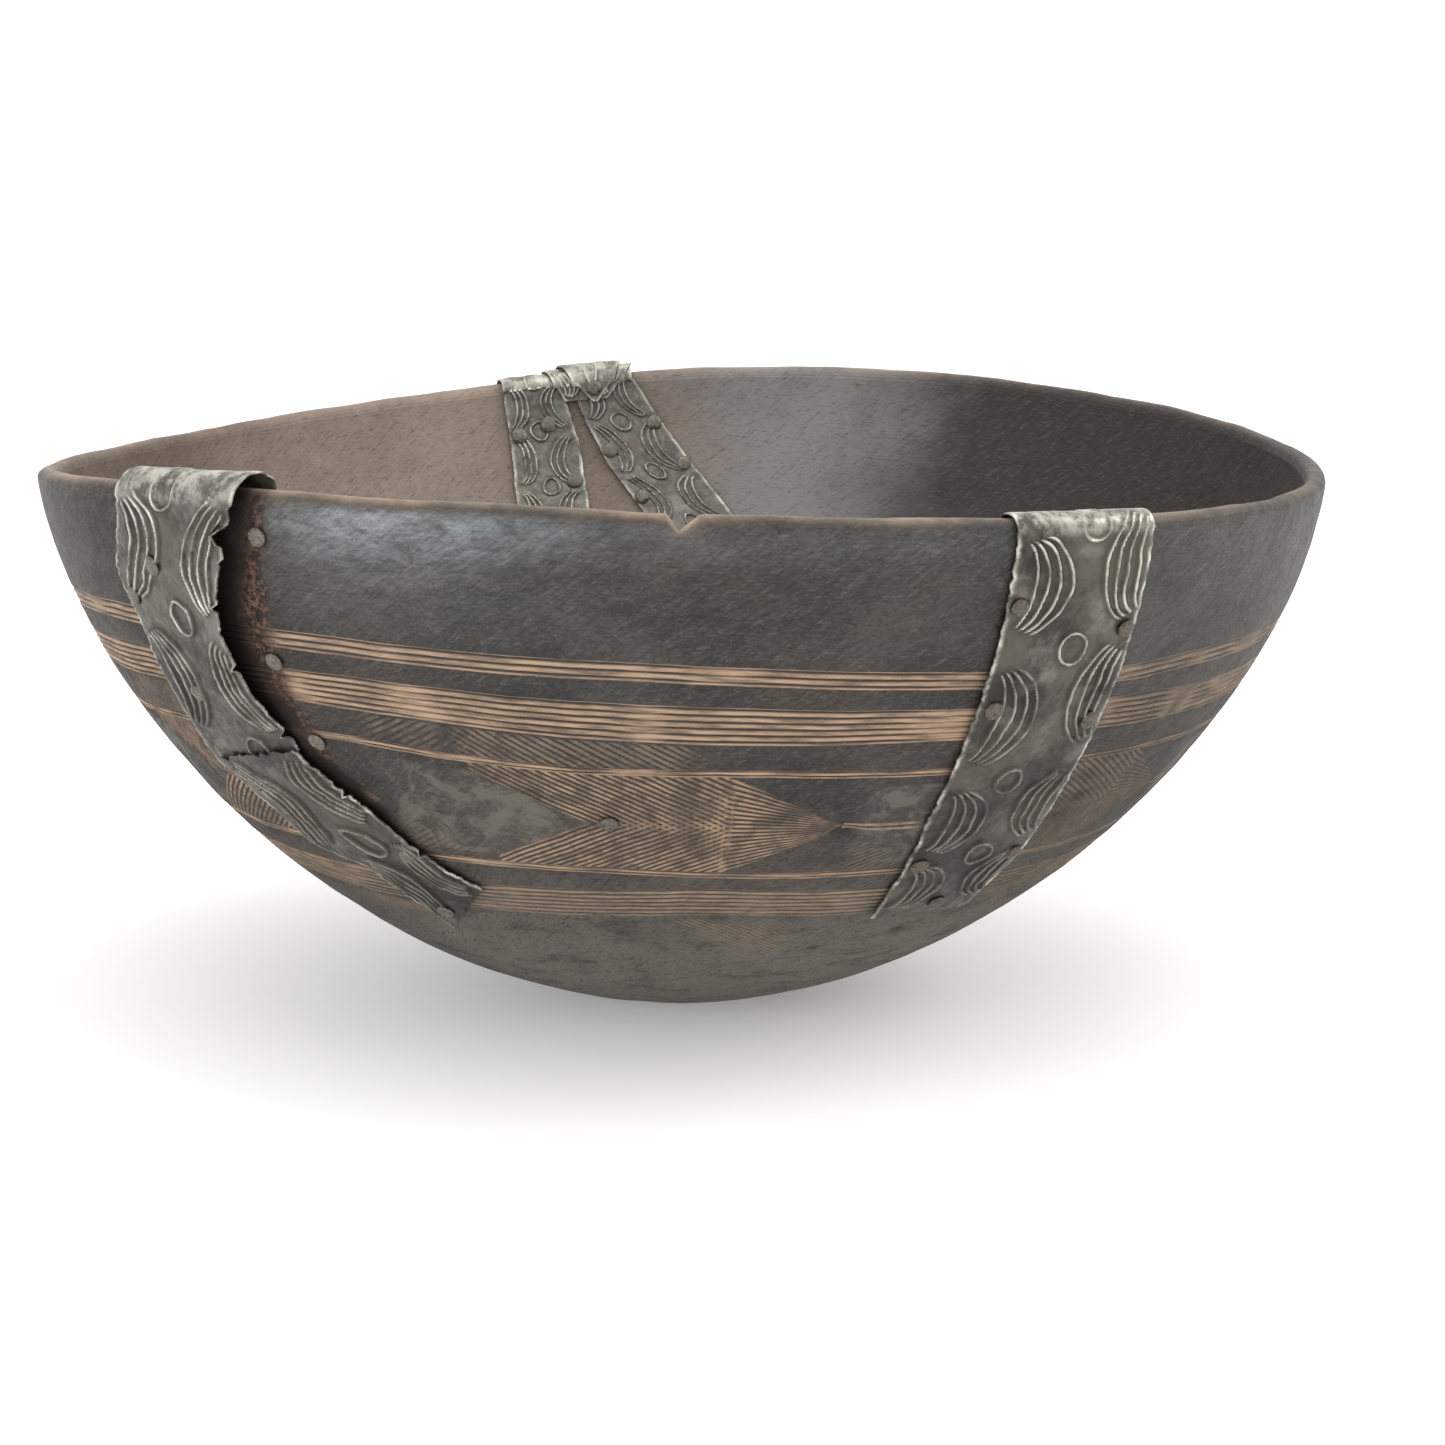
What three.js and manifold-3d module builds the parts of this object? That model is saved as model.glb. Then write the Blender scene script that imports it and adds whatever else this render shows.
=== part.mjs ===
// A hand-carved wooden bowl with sheet-metal repair straps nailed over its rim.
// Millimetres, +Z up. The bowl stands on its worn foot at the origin; angle 0 is +X and
// angles grow anticlockwise seen from above, so -90 degrees is the front.

import * as THREE from 'three';
import { mergeVertices } from 'three/addons/utils/BufferGeometryUtils.js';
import Module from 'manifold-3d';

const wasm = await Module();
wasm.setup();

// ---------------------------------------------------------------- driving dimensions

const bowl = {
  rimRadius: 200, // outside, before the wood's warp
  rimHeight: 172.3, // mean height of the rim
  footRadius: 24.6, // the flat that the round bottom has worn to
  sideCurve: 1.557, // how soon the side turns upright
  bellyCurve: 1.902, // how full the belly is near the foot
  wallAtRim: 7,
  wallAtFoot: 11,
  lipHeight: 3, // rounded top of the rim
};

// The wood has moved as it dried: the rim rises and falls, and its plan is a little egg-shaped.
const warp = {
  growth: 1.5, // the warp grows with height to this power
  rimShift: 3.6, // the rim's middle stands this far along X from over the foot
  rise1Sin: 0.7,
  rise2Cos: -5.5,
  rise2Sin: 3.4,
  rise3Sin: -1.1,
  plan3Cos: -0.012, // shares of the radius
  plan3Sin: 0.0136,
};

const sheet = {
  thickness: 0.8,
  gap: 0.65, // between the wood and the metal
  lap: 0.45, // between two sheets that overlap
};

const nail = {
  headRadius: 3,
  headHeight: 1.7,
  shankRadius: 1,
  tipLength: 1.6,
  depth: 4.6, // how far the tip goes into the wood
  seat: 0.45, // under the head
  holeClearance: 0.3,
};

// Stations of each sheet, from its outer end over the rim to its inner end.
// along: mm along the wall from the top of the rim, + outside and - inside. angle: of the
// sheet's middle. width: mm. tilt: how far its cross line leans from level. lift: how far
// the edge with the larger angle stands off the wood. layers: sheets that it lies on.
const straps = {
  strap_right: [
    { along: 149, angle: -56.5, width: 34 },
    { along: 122, angle: -56.2, width: 41 },
    { along: 100, angle: -56.8, width: 44 },
    { along: 60, angle: -57, width: 46 },
    { along: 0, angle: -57.6, width: 47 },
    { along: -24, angle: -57.6, width: 46 },
  ],
  strap_left_upper: [
    { along: 91, angle: -136.8, width: 46, tilt: -12 },
    { along: 80, angle: -137, width: 49, tilt: -6 },
    { along: 61, angle: -138.1, width: 47.5, lift: 3 },
    { along: 40, angle: -138.5, width: 48.5, lift: 5 },
    { along: 27, angle: -138.4, width: 57, lift: 5 },
    { along: 0, angle: -135, width: 56, lift: 4 },
    { along: -26, angle: -135, width: 54 },
  ],
  strap_left_lower: [
    { along: 147, angle: -118.4, width: 34.5, tilt: -50 },
    { along: 137, angle: -121.3, width: 30, tilt: -44 },
    { along: 121, angle: -125.3, width: 30, tilt: -38, lift: 1 },
    { along: 111, angle: -130, width: 45, tilt: -33, lift: 1 },
    { along: 98, angle: -132.5, width: 40, tilt: -20, layers: 1 },
    { along: 85, angle: -136, width: 43, tilt: -12, layers: 1 },
  ],
  strap_back_left: [
    { along: 28, angle: 107.9, width: 23 },
    { along: 0, angle: 107.9, width: 23 },
    { along: -11, angle: 107.7, width: 23 },
    { along: -28, angle: 106.7, width: 25.5 },
    { along: -75, angle: 106.1, width: 28 },
  ],
  strap_back_right: [
    { along: 28, angle: 100.4, width: 23 },
    { along: 0, angle: 100.4, width: 23 },
    { along: -5, angle: 100.3, width: 23.5 },
    { along: -20, angle: 97.9, width: 27 },
    { along: -36, angle: 94.9, width: 30 },
    { along: -52, angle: 91, width: 31 },
    { along: -80, angle: 84.5, width: 31 },
  ],
  tab_back_lower: [
    { along: 22, angle: 101.6, width: 32, layers: 1 },
    { along: 0, angle: 101.6, width: 33, layers: 1 },
    { along: -12, angle: 102, width: 16, layers: 1 },
  ],
  tab_back_upper: [
    { along: 16, angle: 101.4, width: 24, layers: 2 },
    { along: 0, angle: 101.4, width: 23.5, layers: 2 },
    { along: -13, angle: 101, width: 2, layers: 2 },
  ],
};

// Nails through a sheet, placed on it: along the wall, and across from -1 to 1.
const strapNails = {
  nail_right_1: { strap: 'strap_right', along: 26.4, across: -0.84 },
  nail_right_2: { strap: 'strap_right', along: 34.8, across: 0.84 },
  nail_right_3: { strap: 'strap_right', along: 59, across: -0.78 },
  nail_right_4: { strap: 'strap_right', along: 65.4, across: 0.76 },
  nail_right_5: { strap: 'strap_right', along: 121, across: -0.8 },
  nail_right_6: { strap: 'strap_right', along: 120, across: 0.8 },
  nail_right_7: { strap: 'strap_right', along: 143, across: 0.1 },
  nail_left_1: { strap: 'strap_left_upper', along: 25, across: -0.24 },
  nail_left_2: { strap: 'strap_left_upper', along: 35, across: -0.82 },
  nail_left_3: { strap: 'strap_left_upper', along: 65, across: -0.32 },
  nail_left_4: { strap: 'strap_left_lower', along: 93, across: -0.72 },
  nail_left_5: { strap: 'strap_left_lower', along: 126, across: 0.6 },
  nail_left_6: { strap: 'strap_left_lower', along: 143, across: -0.5 },
  nail_back_1: { strap: 'strap_back_left', along: -22.5, across: 0.7 },
  nail_back_2: { strap: 'strap_back_left', along: -19.5, across: -0.25 },
  nail_back_3: { strap: 'strap_back_left', along: -40.5, across: -0.72 },
  nail_back_4: { strap: 'strap_back_right', along: -30.5, across: 0.78 },
  nail_back_5: { strap: 'strap_back_right', along: -21.5, across: -0.78 },
  nail_back_6: { strap: 'strap_back_right', along: -36.5, across: -0.8 },
  nail_back_7: { strap: 'strap_back_right', along: -48, across: 0.78 },
  nail_back_tab: { strap: 'tab_back_upper', along: -8, across: 0 },
};

// Nails left standing in bare wood: three that the left strap has torn away from, and one
// that plugs the carved frieze.
const woodNails = {
  nail_torn_1: { along: 14.5, angle: -126.3 },
  nail_torn_2: { along: 51.6, angle: -127.7 },
  nail_torn_3: { along: 78, angle: -126.2 },
  nail_frieze: { along: 100.8, angle: -96.9 },
};

const detail = {
  sectionSteps: 240, // samples of each side of the wall, for measuring along it
  lipSteps: 16,
  aroundSegments: 72,
  outerPoints: 14,
  innerPoints: 15,
  lipPoints: 5,
  acrossSegments: 4,
  alongStep: 9, // mm between a sheet's rows
  foldStep: 2, // mm between its rows over the rim
  foldReach: 8, // mm each side of the rim's top that count as the fold
  nailSegments: 8,
};

// ---------------------------------------------------------------- materials

const darkWood = new THREE.MeshStandardMaterial({ color: 0x4a4038, roughness: 0.6, metalness: 0 });
const dullTin = new THREE.MeshStandardMaterial({ color: 0x555550, roughness: 0.5, metalness: 0.8 });
const oldIron = new THREE.MeshStandardMaterial({ color: 0x5a4a40, roughness: 0.6, metalness: 0.6 });

// ---------------------------------------------------------------- the wall's section

const { degToRad, lerp } = THREE.MathUtils;

// Share of the profile's full curve that the flat foot cuts off.
const footCut = 1 - (1 - (bowl.footRadius / bowl.rimRadius) ** bowl.bellyCurve) ** (1 / bowl.sideCurve);

function outsideRadius(height) {
  const share = height / bowl.rimHeight;
  const turn = share + (1 - share) * footCut;
  return bowl.rimRadius * (1 - (1 - turn) ** bowl.sideCurve) ** (1 / bowl.bellyCurve);
}

function outsideNormal(height) {
  const step = 0.05;
  const low = Math.max(height - step, 0);
  const run = outsideRadius(height + step) - outsideRadius(low);
  return new THREE.Vector2(height + step - low, -run).normalize();
}

// A row of the section: its point, its normal out of the wood, and its distance along the wall.
function sectionRow(radius, height, normal) {
  return { point: new THREE.Vector2(radius, height), normal, along: 0 };
}

function outsideRow(height) {
  return sectionRow(outsideRadius(height), height, outsideNormal(height));
}

function insideRow(height) {
  const { point, normal } = outsideRow(height);
  const wall = lerp(bowl.wallAtFoot, bowl.wallAtRim, height / shoulderHeight);
  const inner = point.clone().addScaledVector(normal, -wall);
  return sectionRow(inner.x, inner.y, normal.clone().negate());
}

const shoulderHeight = bowl.rimHeight - bowl.lipHeight;

function lipRow(turn) {
  const halfWall = bowl.wallAtRim / 2;
  const middle = outsideRadius(shoulderHeight) - halfWall;
  const point = new THREE.Vector2(
    middle + halfWall * Math.cos(turn),
    shoulderHeight + bowl.lipHeight * Math.sin(turn),
  );
  const normal = new THREE.Vector2(bowl.lipHeight * Math.cos(turn), halfWall * Math.sin(turn));
  return { point, normal: normal.normalize(), along: 0 };
}

// Rows stand closer together at the foot and at the rim, where the section bends most.
function rowHeight(row, count) {
  return (shoulderHeight * (1 - Math.cos((Math.PI * row) / count))) / 2;
}

function sectionRows(outerCount, lipCount, innerCount) {
  const rows = [];
  for (let i = 0; i < outerCount; i += 1) {
    rows.push(outsideRow(rowHeight(i, outerCount)));
  }
  for (let i = 0; i <= lipCount; i += 1) {
    rows.push(lipRow((Math.PI * i) / lipCount));
  }
  for (let i = innerCount - 1; i >= 0; i -= 1) {
    rows.push(insideRow(rowHeight(i, innerCount)));
  }
  return rows;
}

// The finely sampled section, measured from the top of the lip: + outside, - inside.
const measured = sectionRows(detail.sectionSteps, detail.lipSteps, detail.sectionSteps);
const lipTop = detail.sectionSteps + detail.lipSteps / 2;
for (let i = lipTop - 1; i >= 0; i -= 1) {
  measured[i].along = measured[i + 1].along + measured[i].point.distanceTo(measured[i + 1].point);
}
for (let i = lipTop + 1; i < measured.length; i += 1) {
  measured[i].along = measured[i - 1].along - measured[i].point.distanceTo(measured[i - 1].point);
}

function sectionAt(along) {
  let i = 0;
  while (i < measured.length - 2 && measured[i + 1].along > along) {
    i += 1;
  }
  const from = measured[i];
  const to = measured[i + 1];
  const share = (from.along - along) / (from.along - to.along);
  return {
    point: from.point.clone().lerp(to.point, share),
    normal: from.normal.clone().lerp(to.normal, share).normalize(),
  };
}

// Where a point of the section stands in the warped bowl.
function warped(radius, height, angle) {
  const share = Math.max(height / bowl.rimHeight, 0);
  const growth = share ** warp.growth;
  const plan = warp.plan3Cos * Math.cos(3 * angle) + warp.plan3Sin * Math.sin(3 * angle);
  const rise =
    warp.rise1Sin * Math.sin(angle) +
    warp.rise2Cos * Math.cos(2 * angle) +
    warp.rise2Sin * Math.sin(2 * angle) +
    warp.rise3Sin * Math.sin(3 * angle);
  const reach = radius * (1 + growth * plan);
  return new THREE.Vector3(
    reach * Math.cos(angle) + warp.rimShift * share,
    reach * Math.sin(angle),
    height + growth * rise,
  );
}

function wallPoint(along, angle, offset) {
  const { point, normal } = sectionAt(along);
  return warped(point.x + normal.x * offset, point.y + normal.y * offset, angle);
}

// ---------------------------------------------------------------- solids

function solidOf(geometry) {
  geometry.deleteAttribute('normal');
  geometry.deleteAttribute('uv');
  const merged = mergeVertices(geometry, 1e-4);
  const corners = merged.index.array;
  const kept = [];
  for (let i = 0; i < corners.length; i += 3) {
    const [a, b, c] = corners.slice(i, i + 3);
    if (a !== b && b !== c && c !== a) {
      kept.push(a, b, c);
    }
  }
  const mesh = new wasm.Mesh({
    numProp: 3,
    vertProperties: new Float32Array(merged.attributes.position.array),
    triVerts: new Uint32Array(kept),
  });
  return new wasm.Manifold(mesh);
}

function geometryOf(solid) {
  const mesh = solid.getMesh();
  const geometry = new THREE.BufferGeometry();
  geometry.setAttribute('position', new THREE.BufferAttribute(mesh.vertProperties, 3));
  geometry.setIndex(new THREE.BufferAttribute(mesh.triVerts, 1));
  geometry.computeVertexNormals();
  return geometry;
}

function moveVertices(geometry, place) {
  const position = geometry.attributes.position;
  const vertex = new THREE.Vector3();
  for (let i = 0; i < position.count; i += 1) {
    const moved = place(vertex.fromBufferAttribute(position, i));
    position.setXYZ(i, moved.x, moved.y, moved.z);
  }
}

function namedMesh(name, geometry, material) {
  const mesh = new THREE.Mesh(geometry, material);
  mesh.name = name;
  return mesh;
}

// ---------------------------------------------------------------- the bowl

function bowlSolid() {
  const rows = sectionRows(detail.outerPoints, detail.lipPoints, detail.innerPoints);
  const profile = rows.map((row) => row.point);
  profile.unshift(new THREE.Vector2(0, 0));
  profile.push(new THREE.Vector2(0, bowl.wallAtFoot));
  const geometry = new THREE.LatheGeometry(profile, detail.aroundSegments);
  geometry.rotateX(Math.PI / 2);
  moveVertices(geometry, (vertex) => {
    const radius = Math.hypot(vertex.x, vertex.y);
    return warped(radius, vertex.z, Math.atan2(vertex.y, vertex.x));
  });
  return solidOf(geometry);
}

// ---------------------------------------------------------------- straps and tabs

const stationSizes = ['angle', 'width', 'tilt', 'lift', 'layers'];

function stationAt(stations, along) {
  let i = 0;
  while (i < stations.length - 2 && stations[i + 1].along > along) {
    i += 1;
  }
  const from = stations[i];
  const to = stations[i + 1];
  const share = THREE.MathUtils.clamp((from.along - along) / (from.along - to.along), 0, 1);
  const station = {};
  for (const size of stationSizes) {
    station[size] = lerp(from[size] ?? 0, to[size] ?? 0, share);
  }
  return station;
}

// Where a sheet's point is: across runs from -1 to 1, and depth from 0, under it, to 1, on it.
function sheetPlace(stations, along, across) {
  const station = stationAt(stations, along);
  const reach = (across * station.width) / 2;
  const lean = degToRad(station.tilt);
  const placeAlong = along + reach * Math.sin(lean);
  const radius = sectionAt(placeAlong).point.x;
  const angle = degToRad(station.angle) + (reach * Math.cos(lean)) / radius;
  const raised = station.layers * (sheet.thickness + sheet.lap);
  const lifted = station.lift * Math.max(across, 0) ** 2;
  return { along: placeAlong, angle, bottom: sheet.gap + raised + lifted };
}

function alongRows(stations) {
  const rows = [];
  const last = stations.at(-1).along;
  let along = stations[0].along;
  while (along > last + 0.5) {
    rows.push(along);
    const overRim = Math.abs(along) < detail.foldReach;
    const intoRim = along > detail.foldReach && along - detail.alongStep < detail.foldReach;
    const step = overRim ? detail.foldStep : detail.alongStep;
    along = intoRim ? detail.foldReach - 0.01 : along - step;
  }
  rows.push(last);
  return rows;
}

function strapSolid(stations) {
  const rows = alongRows(stations);
  const steps = rows.length - 1;
  const geometry = new THREE.BoxGeometry(2, steps, 1, detail.acrossSegments, steps, 1);
  moveVertices(geometry, (vertex) => {
    const along = rows[Math.round(steps / 2 - vertex.y)];
    const place = sheetPlace(stations, along, -vertex.x);
    const depth = vertex.z + 0.5;
    return wallPoint(place.along, place.angle, place.bottom + depth * sheet.thickness);
  });
  return solidOf(geometry);
}

// ---------------------------------------------------------------- nails

// Half sections, turned about the nail's own axis: Y runs out of the wood, 0 at its surface.
function nailProfile(seatHeight) {
  const head = [];
  const rings = 3;
  for (let i = 0; i <= rings; i += 1) {
    const turn = (Math.PI / 2) * (i / rings);
    head.push(new THREE.Vector2(
      nail.headRadius * Math.cos(turn),
      seatHeight + nail.headHeight * Math.sin(turn),
    ));
  }
  return [
    new THREE.Vector2(0, -nail.depth),
    new THREE.Vector2(nail.shankRadius, nail.tipLength - nail.depth),
    new THREE.Vector2(nail.shankRadius, seatHeight),
    ...head.slice(0, rings),
    new THREE.Vector2(0, seatHeight + nail.headHeight),
  ];
}

function holeProfile(seatHeight) {
  const radius = nail.shankRadius + nail.holeClearance;
  const bottom = -nail.depth - nail.holeClearance;
  const top = seatHeight + nail.headHeight;
  return [
    new THREE.Vector2(0, bottom),
    new THREE.Vector2(radius, bottom),
    new THREE.Vector2(radius, top),
    new THREE.Vector2(0, top),
  ];
}

// Stands a lathed shape on the wall, with its axis square to the wood.
function onWall(profile, along, angle) {
  const foot = wallPoint(along, angle, 0);
  const out = wallPoint(along, angle, 1).sub(foot).normalize();
  const turn = new THREE.Quaternion().setFromUnitVectors(new THREE.Vector3(0, 1, 0), out);
  const geometry = new THREE.LatheGeometry(profile, detail.nailSegments);
  geometry.applyQuaternion(turn);
  geometry.translate(foot.x, foot.y, foot.z);
  return solidOf(geometry);
}

const nailPlaces = {};
for (const [name, place] of Object.entries(strapNails)) {
  const { along, angle, bottom } = sheetPlace(straps[place.strap], place.along, place.across);
  nailPlaces[name] = { along, angle, seatHeight: bottom + sheet.thickness + nail.seat };
}
for (const [name, place] of Object.entries(woodNails)) {
  nailPlaces[name] = { along: place.along, angle: degToRad(place.angle), seatHeight: nail.seat };
}

const places = Object.values(nailPlaces);
const holes = wasm.Manifold.union(
  places.map((place) => onWall(holeProfile(place.seatHeight), place.along, place.angle)),
);

// ---------------------------------------------------------------- the assembly

const group = new THREE.Group();
group.add(namedMesh('bowl', geometryOf(bowlSolid().subtract(holes)), darkWood));
for (const [name, stations] of Object.entries(straps)) {
  group.add(namedMesh(name, geometryOf(strapSolid(stations).subtract(holes)), dullTin));
}
for (const [name, place] of Object.entries(nailPlaces)) {
  const solid = onWall(nailProfile(place.seatHeight), place.along, place.angle);
  group.add(namedMesh(name, geometryOf(solid), oldIron));
}

export default group;
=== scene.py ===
import bpy
import math
import numpy as np
from mathutils import Matrix, Vector, noise


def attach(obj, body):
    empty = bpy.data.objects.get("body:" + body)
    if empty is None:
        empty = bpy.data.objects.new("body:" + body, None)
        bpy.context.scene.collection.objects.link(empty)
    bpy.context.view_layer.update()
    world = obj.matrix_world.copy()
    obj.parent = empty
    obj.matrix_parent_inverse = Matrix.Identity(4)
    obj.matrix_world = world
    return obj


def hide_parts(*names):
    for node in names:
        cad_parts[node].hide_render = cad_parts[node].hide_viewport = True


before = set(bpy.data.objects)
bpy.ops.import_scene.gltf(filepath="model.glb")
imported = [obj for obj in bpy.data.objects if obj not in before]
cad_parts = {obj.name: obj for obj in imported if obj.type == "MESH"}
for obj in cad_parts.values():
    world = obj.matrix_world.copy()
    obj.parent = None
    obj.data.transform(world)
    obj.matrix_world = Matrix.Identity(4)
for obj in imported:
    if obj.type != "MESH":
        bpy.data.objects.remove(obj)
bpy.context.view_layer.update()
mm = 0.001


def deselectAll():
    bpy.ops.object.select_all(action="DESELECT")


def makeActive(piece):
    deselectAll()
    piece.select_set(True)
    bpy.context.view_layer.objects.active = piece


def pick(piece, kind, test):
    # edit mode, with just the faces or edges selected that pass the test
    bpy.ops.mesh.select_all(action="DESELECT")
    bpy.ops.object.mode_set(mode="OBJECT")
    for item in getattr(piece.data, kind):
        item.select = test(item)
    bpy.ops.object.mode_set(mode="EDIT")


def closeMesh(reach):
    # out of edit mode, with the points joined that are nearer than reach
    bpy.ops.mesh.select_all(action="SELECT")
    bpy.ops.mesh.remove_doubles(threshold=reach)
    bpy.ops.mesh.normals_make_consistent(inside=False)
    bpy.ops.object.mode_set(mode="OBJECT")


def smoothStep(low, high, value):
    share = np.clip((np.asarray(value, float) - low) / (high - low), 0, 1)
    return share * share * (3 - 2 * share)


# the camera comes first: low and far, a little above the rim
camera = {
    "target": (0.0138, 0.0, 0.08434),
    "distance": 1.2,
    "elevation": 10.302,
    "lens": 94.53,
}
lift = math.radians(camera["elevation"])
bpy.ops.object.camera_add(
    location=(
        camera["target"][0],
        -camera["distance"] * math.cos(lift),
        camera["target"][2] + camera["distance"] * math.sin(lift),
    ),
    rotation=(math.pi / 2 - lift, 0, 0),
)
eye = bpy.context.object
eye.data.lens = camera["lens"]
eye.data.sensor_width = 36
eye.data.clip_start = 0.05
bpy.context.scene.camera = eye
print("camera set")


# the bowl's wall in millimetres, as it was turned in the CAD model
wall = {
    "rimRadius": 200,
    "rimHeight": 172.3,
    "footRadius": 24.6,
    "sideCurve": 1.557,
    "bellyCurve": 1.902,
    "wallAtRim": 7,
    "wallAtFoot": 11,
    "lipHeight": 3,
    "sectionSteps": 240,
}
drying = {  # how the wood has moved
    "growth": 1.5,
    "rimShift": 3.6,
    "rise1Sin": 0.7,
    "rise2Cos": -5.5,
    "rise2Sin": 3.4,
    "rise3Sin": -1.1,
    "plan3Cos": -0.012,
    "plan3Sin": 0.0136,
}
shoulder = wall["rimHeight"] - wall["lipHeight"]
footShare = 1 - (wall["footRadius"] / wall["rimRadius"]) ** wall["bellyCurve"]
footCut = 1 - footShare ** (1 / wall["sideCurve"])


def outsideRadius(height):
    share = np.asarray(height, float) / wall["rimHeight"]
    turn = share + (1 - share) * footCut
    return wall["rimRadius"] * (1 - (1 - turn) ** wall["sideCurve"]) ** (1 / wall["bellyCurve"])


def wallSection():
    # rows of radius, height and the normal out of the wood, from under the foot over the lip to the inside
    steps = wall["sectionSteps"]
    height = shoulder * (1 - np.cos(np.pi * np.arange(steps) / steps)) / 2
    below = np.maximum(height - 0.05, 0)
    rise = height + 0.05 - below
    run = outsideRadius(height + 0.05) - outsideRadius(below)
    length = np.hypot(rise, run)
    outer = np.stack([outsideRadius(height), height, rise / length, -run / length], 1)
    thick = wall["wallAtFoot"] + (wall["wallAtRim"] - wall["wallAtFoot"]) * height / shoulder
    inner = np.stack([
        outer[:, 0] - outer[:, 2] * thick, outer[:, 1] - outer[:, 3] * thick, -outer[:, 2], -outer[:, 3],
    ], 1)[::-1]
    turn = np.pi * np.arange(25) / 24
    half = wall["wallAtRim"] / 2
    lipNormal = np.stack([wall["lipHeight"] * np.cos(turn), half * np.sin(turn)], 1)
    lipNormal /= np.linalg.norm(lipNormal, axis=1)[:, None]
    lip = np.stack([
        outsideRadius(shoulder) - half + half * np.cos(turn), shoulder + wall["lipHeight"] * np.sin(turn),
        lipNormal[:, 0], lipNormal[:, 1],
    ], 1)
    rows = np.concatenate([
        [[0, 0, 0, -1]], outer, lip, inner, [[0, wall["wallAtFoot"], 0, 1]],
    ])
    reach = np.concatenate([[0], np.cumsum(np.hypot(*np.diff(rows[:, :2], axis=0).T))])
    top = 1 + steps + 12
    return rows, reach[top] - reach


sectionRows, sectionAlong = wallSection()


def sectionAt(along):
    # along: mm along the wall from the top of the lip, + down the outside, - down the inside
    return [np.interp(-np.asarray(along, float), -sectionAlong, sectionRows[:, i]) for i in range(4)]


def warped(radius, height, angle):
    share = np.maximum(height / wall["rimHeight"], 0)
    growth = share ** drying["growth"]
    plan = drying["plan3Cos"] * np.cos(3 * angle) + drying["plan3Sin"] * np.sin(3 * angle)
    rise = (
        drying["rise1Sin"] * np.sin(angle)
        + drying["rise2Cos"] * np.cos(2 * angle)
        + drying["rise2Sin"] * np.sin(2 * angle)
        + drying["rise3Sin"] * np.sin(3 * angle)
    )
    reach = radius * (1 + growth * plan)
    return np.stack([
        reach * np.cos(angle) + drying["rimShift"] * share, reach * np.sin(angle), height + growth * rise,
    ], -1)


def wallPoint(along, angle, offset):
    radius, height, outX, outY = sectionAt(along)
    return warped(radius + outX * offset, height + outY * offset, np.asarray(angle, float))


def alongAt(height):
    # the outside's distance from the lip at a height
    outer = slice(1, 1 + wall["sectionSteps"])
    return np.interp(height, sectionRows[outer, 1], sectionAlong[outer])


def roughness(points, scale, octaves=3):
    # fractal noise at points in mm, about -1 to 1, the same on every run
    return np.array([noise.fractal(Vector(p) / scale, 1.0, 2.0, octaves) for p in points])


def setAttributes(mesh, **layers):
    for name, values in layers.items():
        layer = mesh.attributes.new(name, "FLOAT", "POINT")
        layer.data.foreach_set("value", np.asarray(values, np.float32))


def setLoopMap(mesh, name, u, v):
    layer = mesh.uv_layers.new(name=name)
    layer.data.foreach_set("uv", np.stack([u, v], 1).astype(np.float32).ravel())


def pointsOf(mesh):
    places = np.empty(len(mesh.vertices) * 3)
    mesh.vertices.foreach_get("co", places)
    return places.reshape(-1, 3)


def movePoints(mesh, places):
    mesh.vertices.foreach_set("co", places.astype(np.float32).ravel())


def wholeNumbers(items, name):
    found = np.empty(len(items), np.int32)
    items.foreach_get(name, found)
    return found


# the bowl

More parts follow.
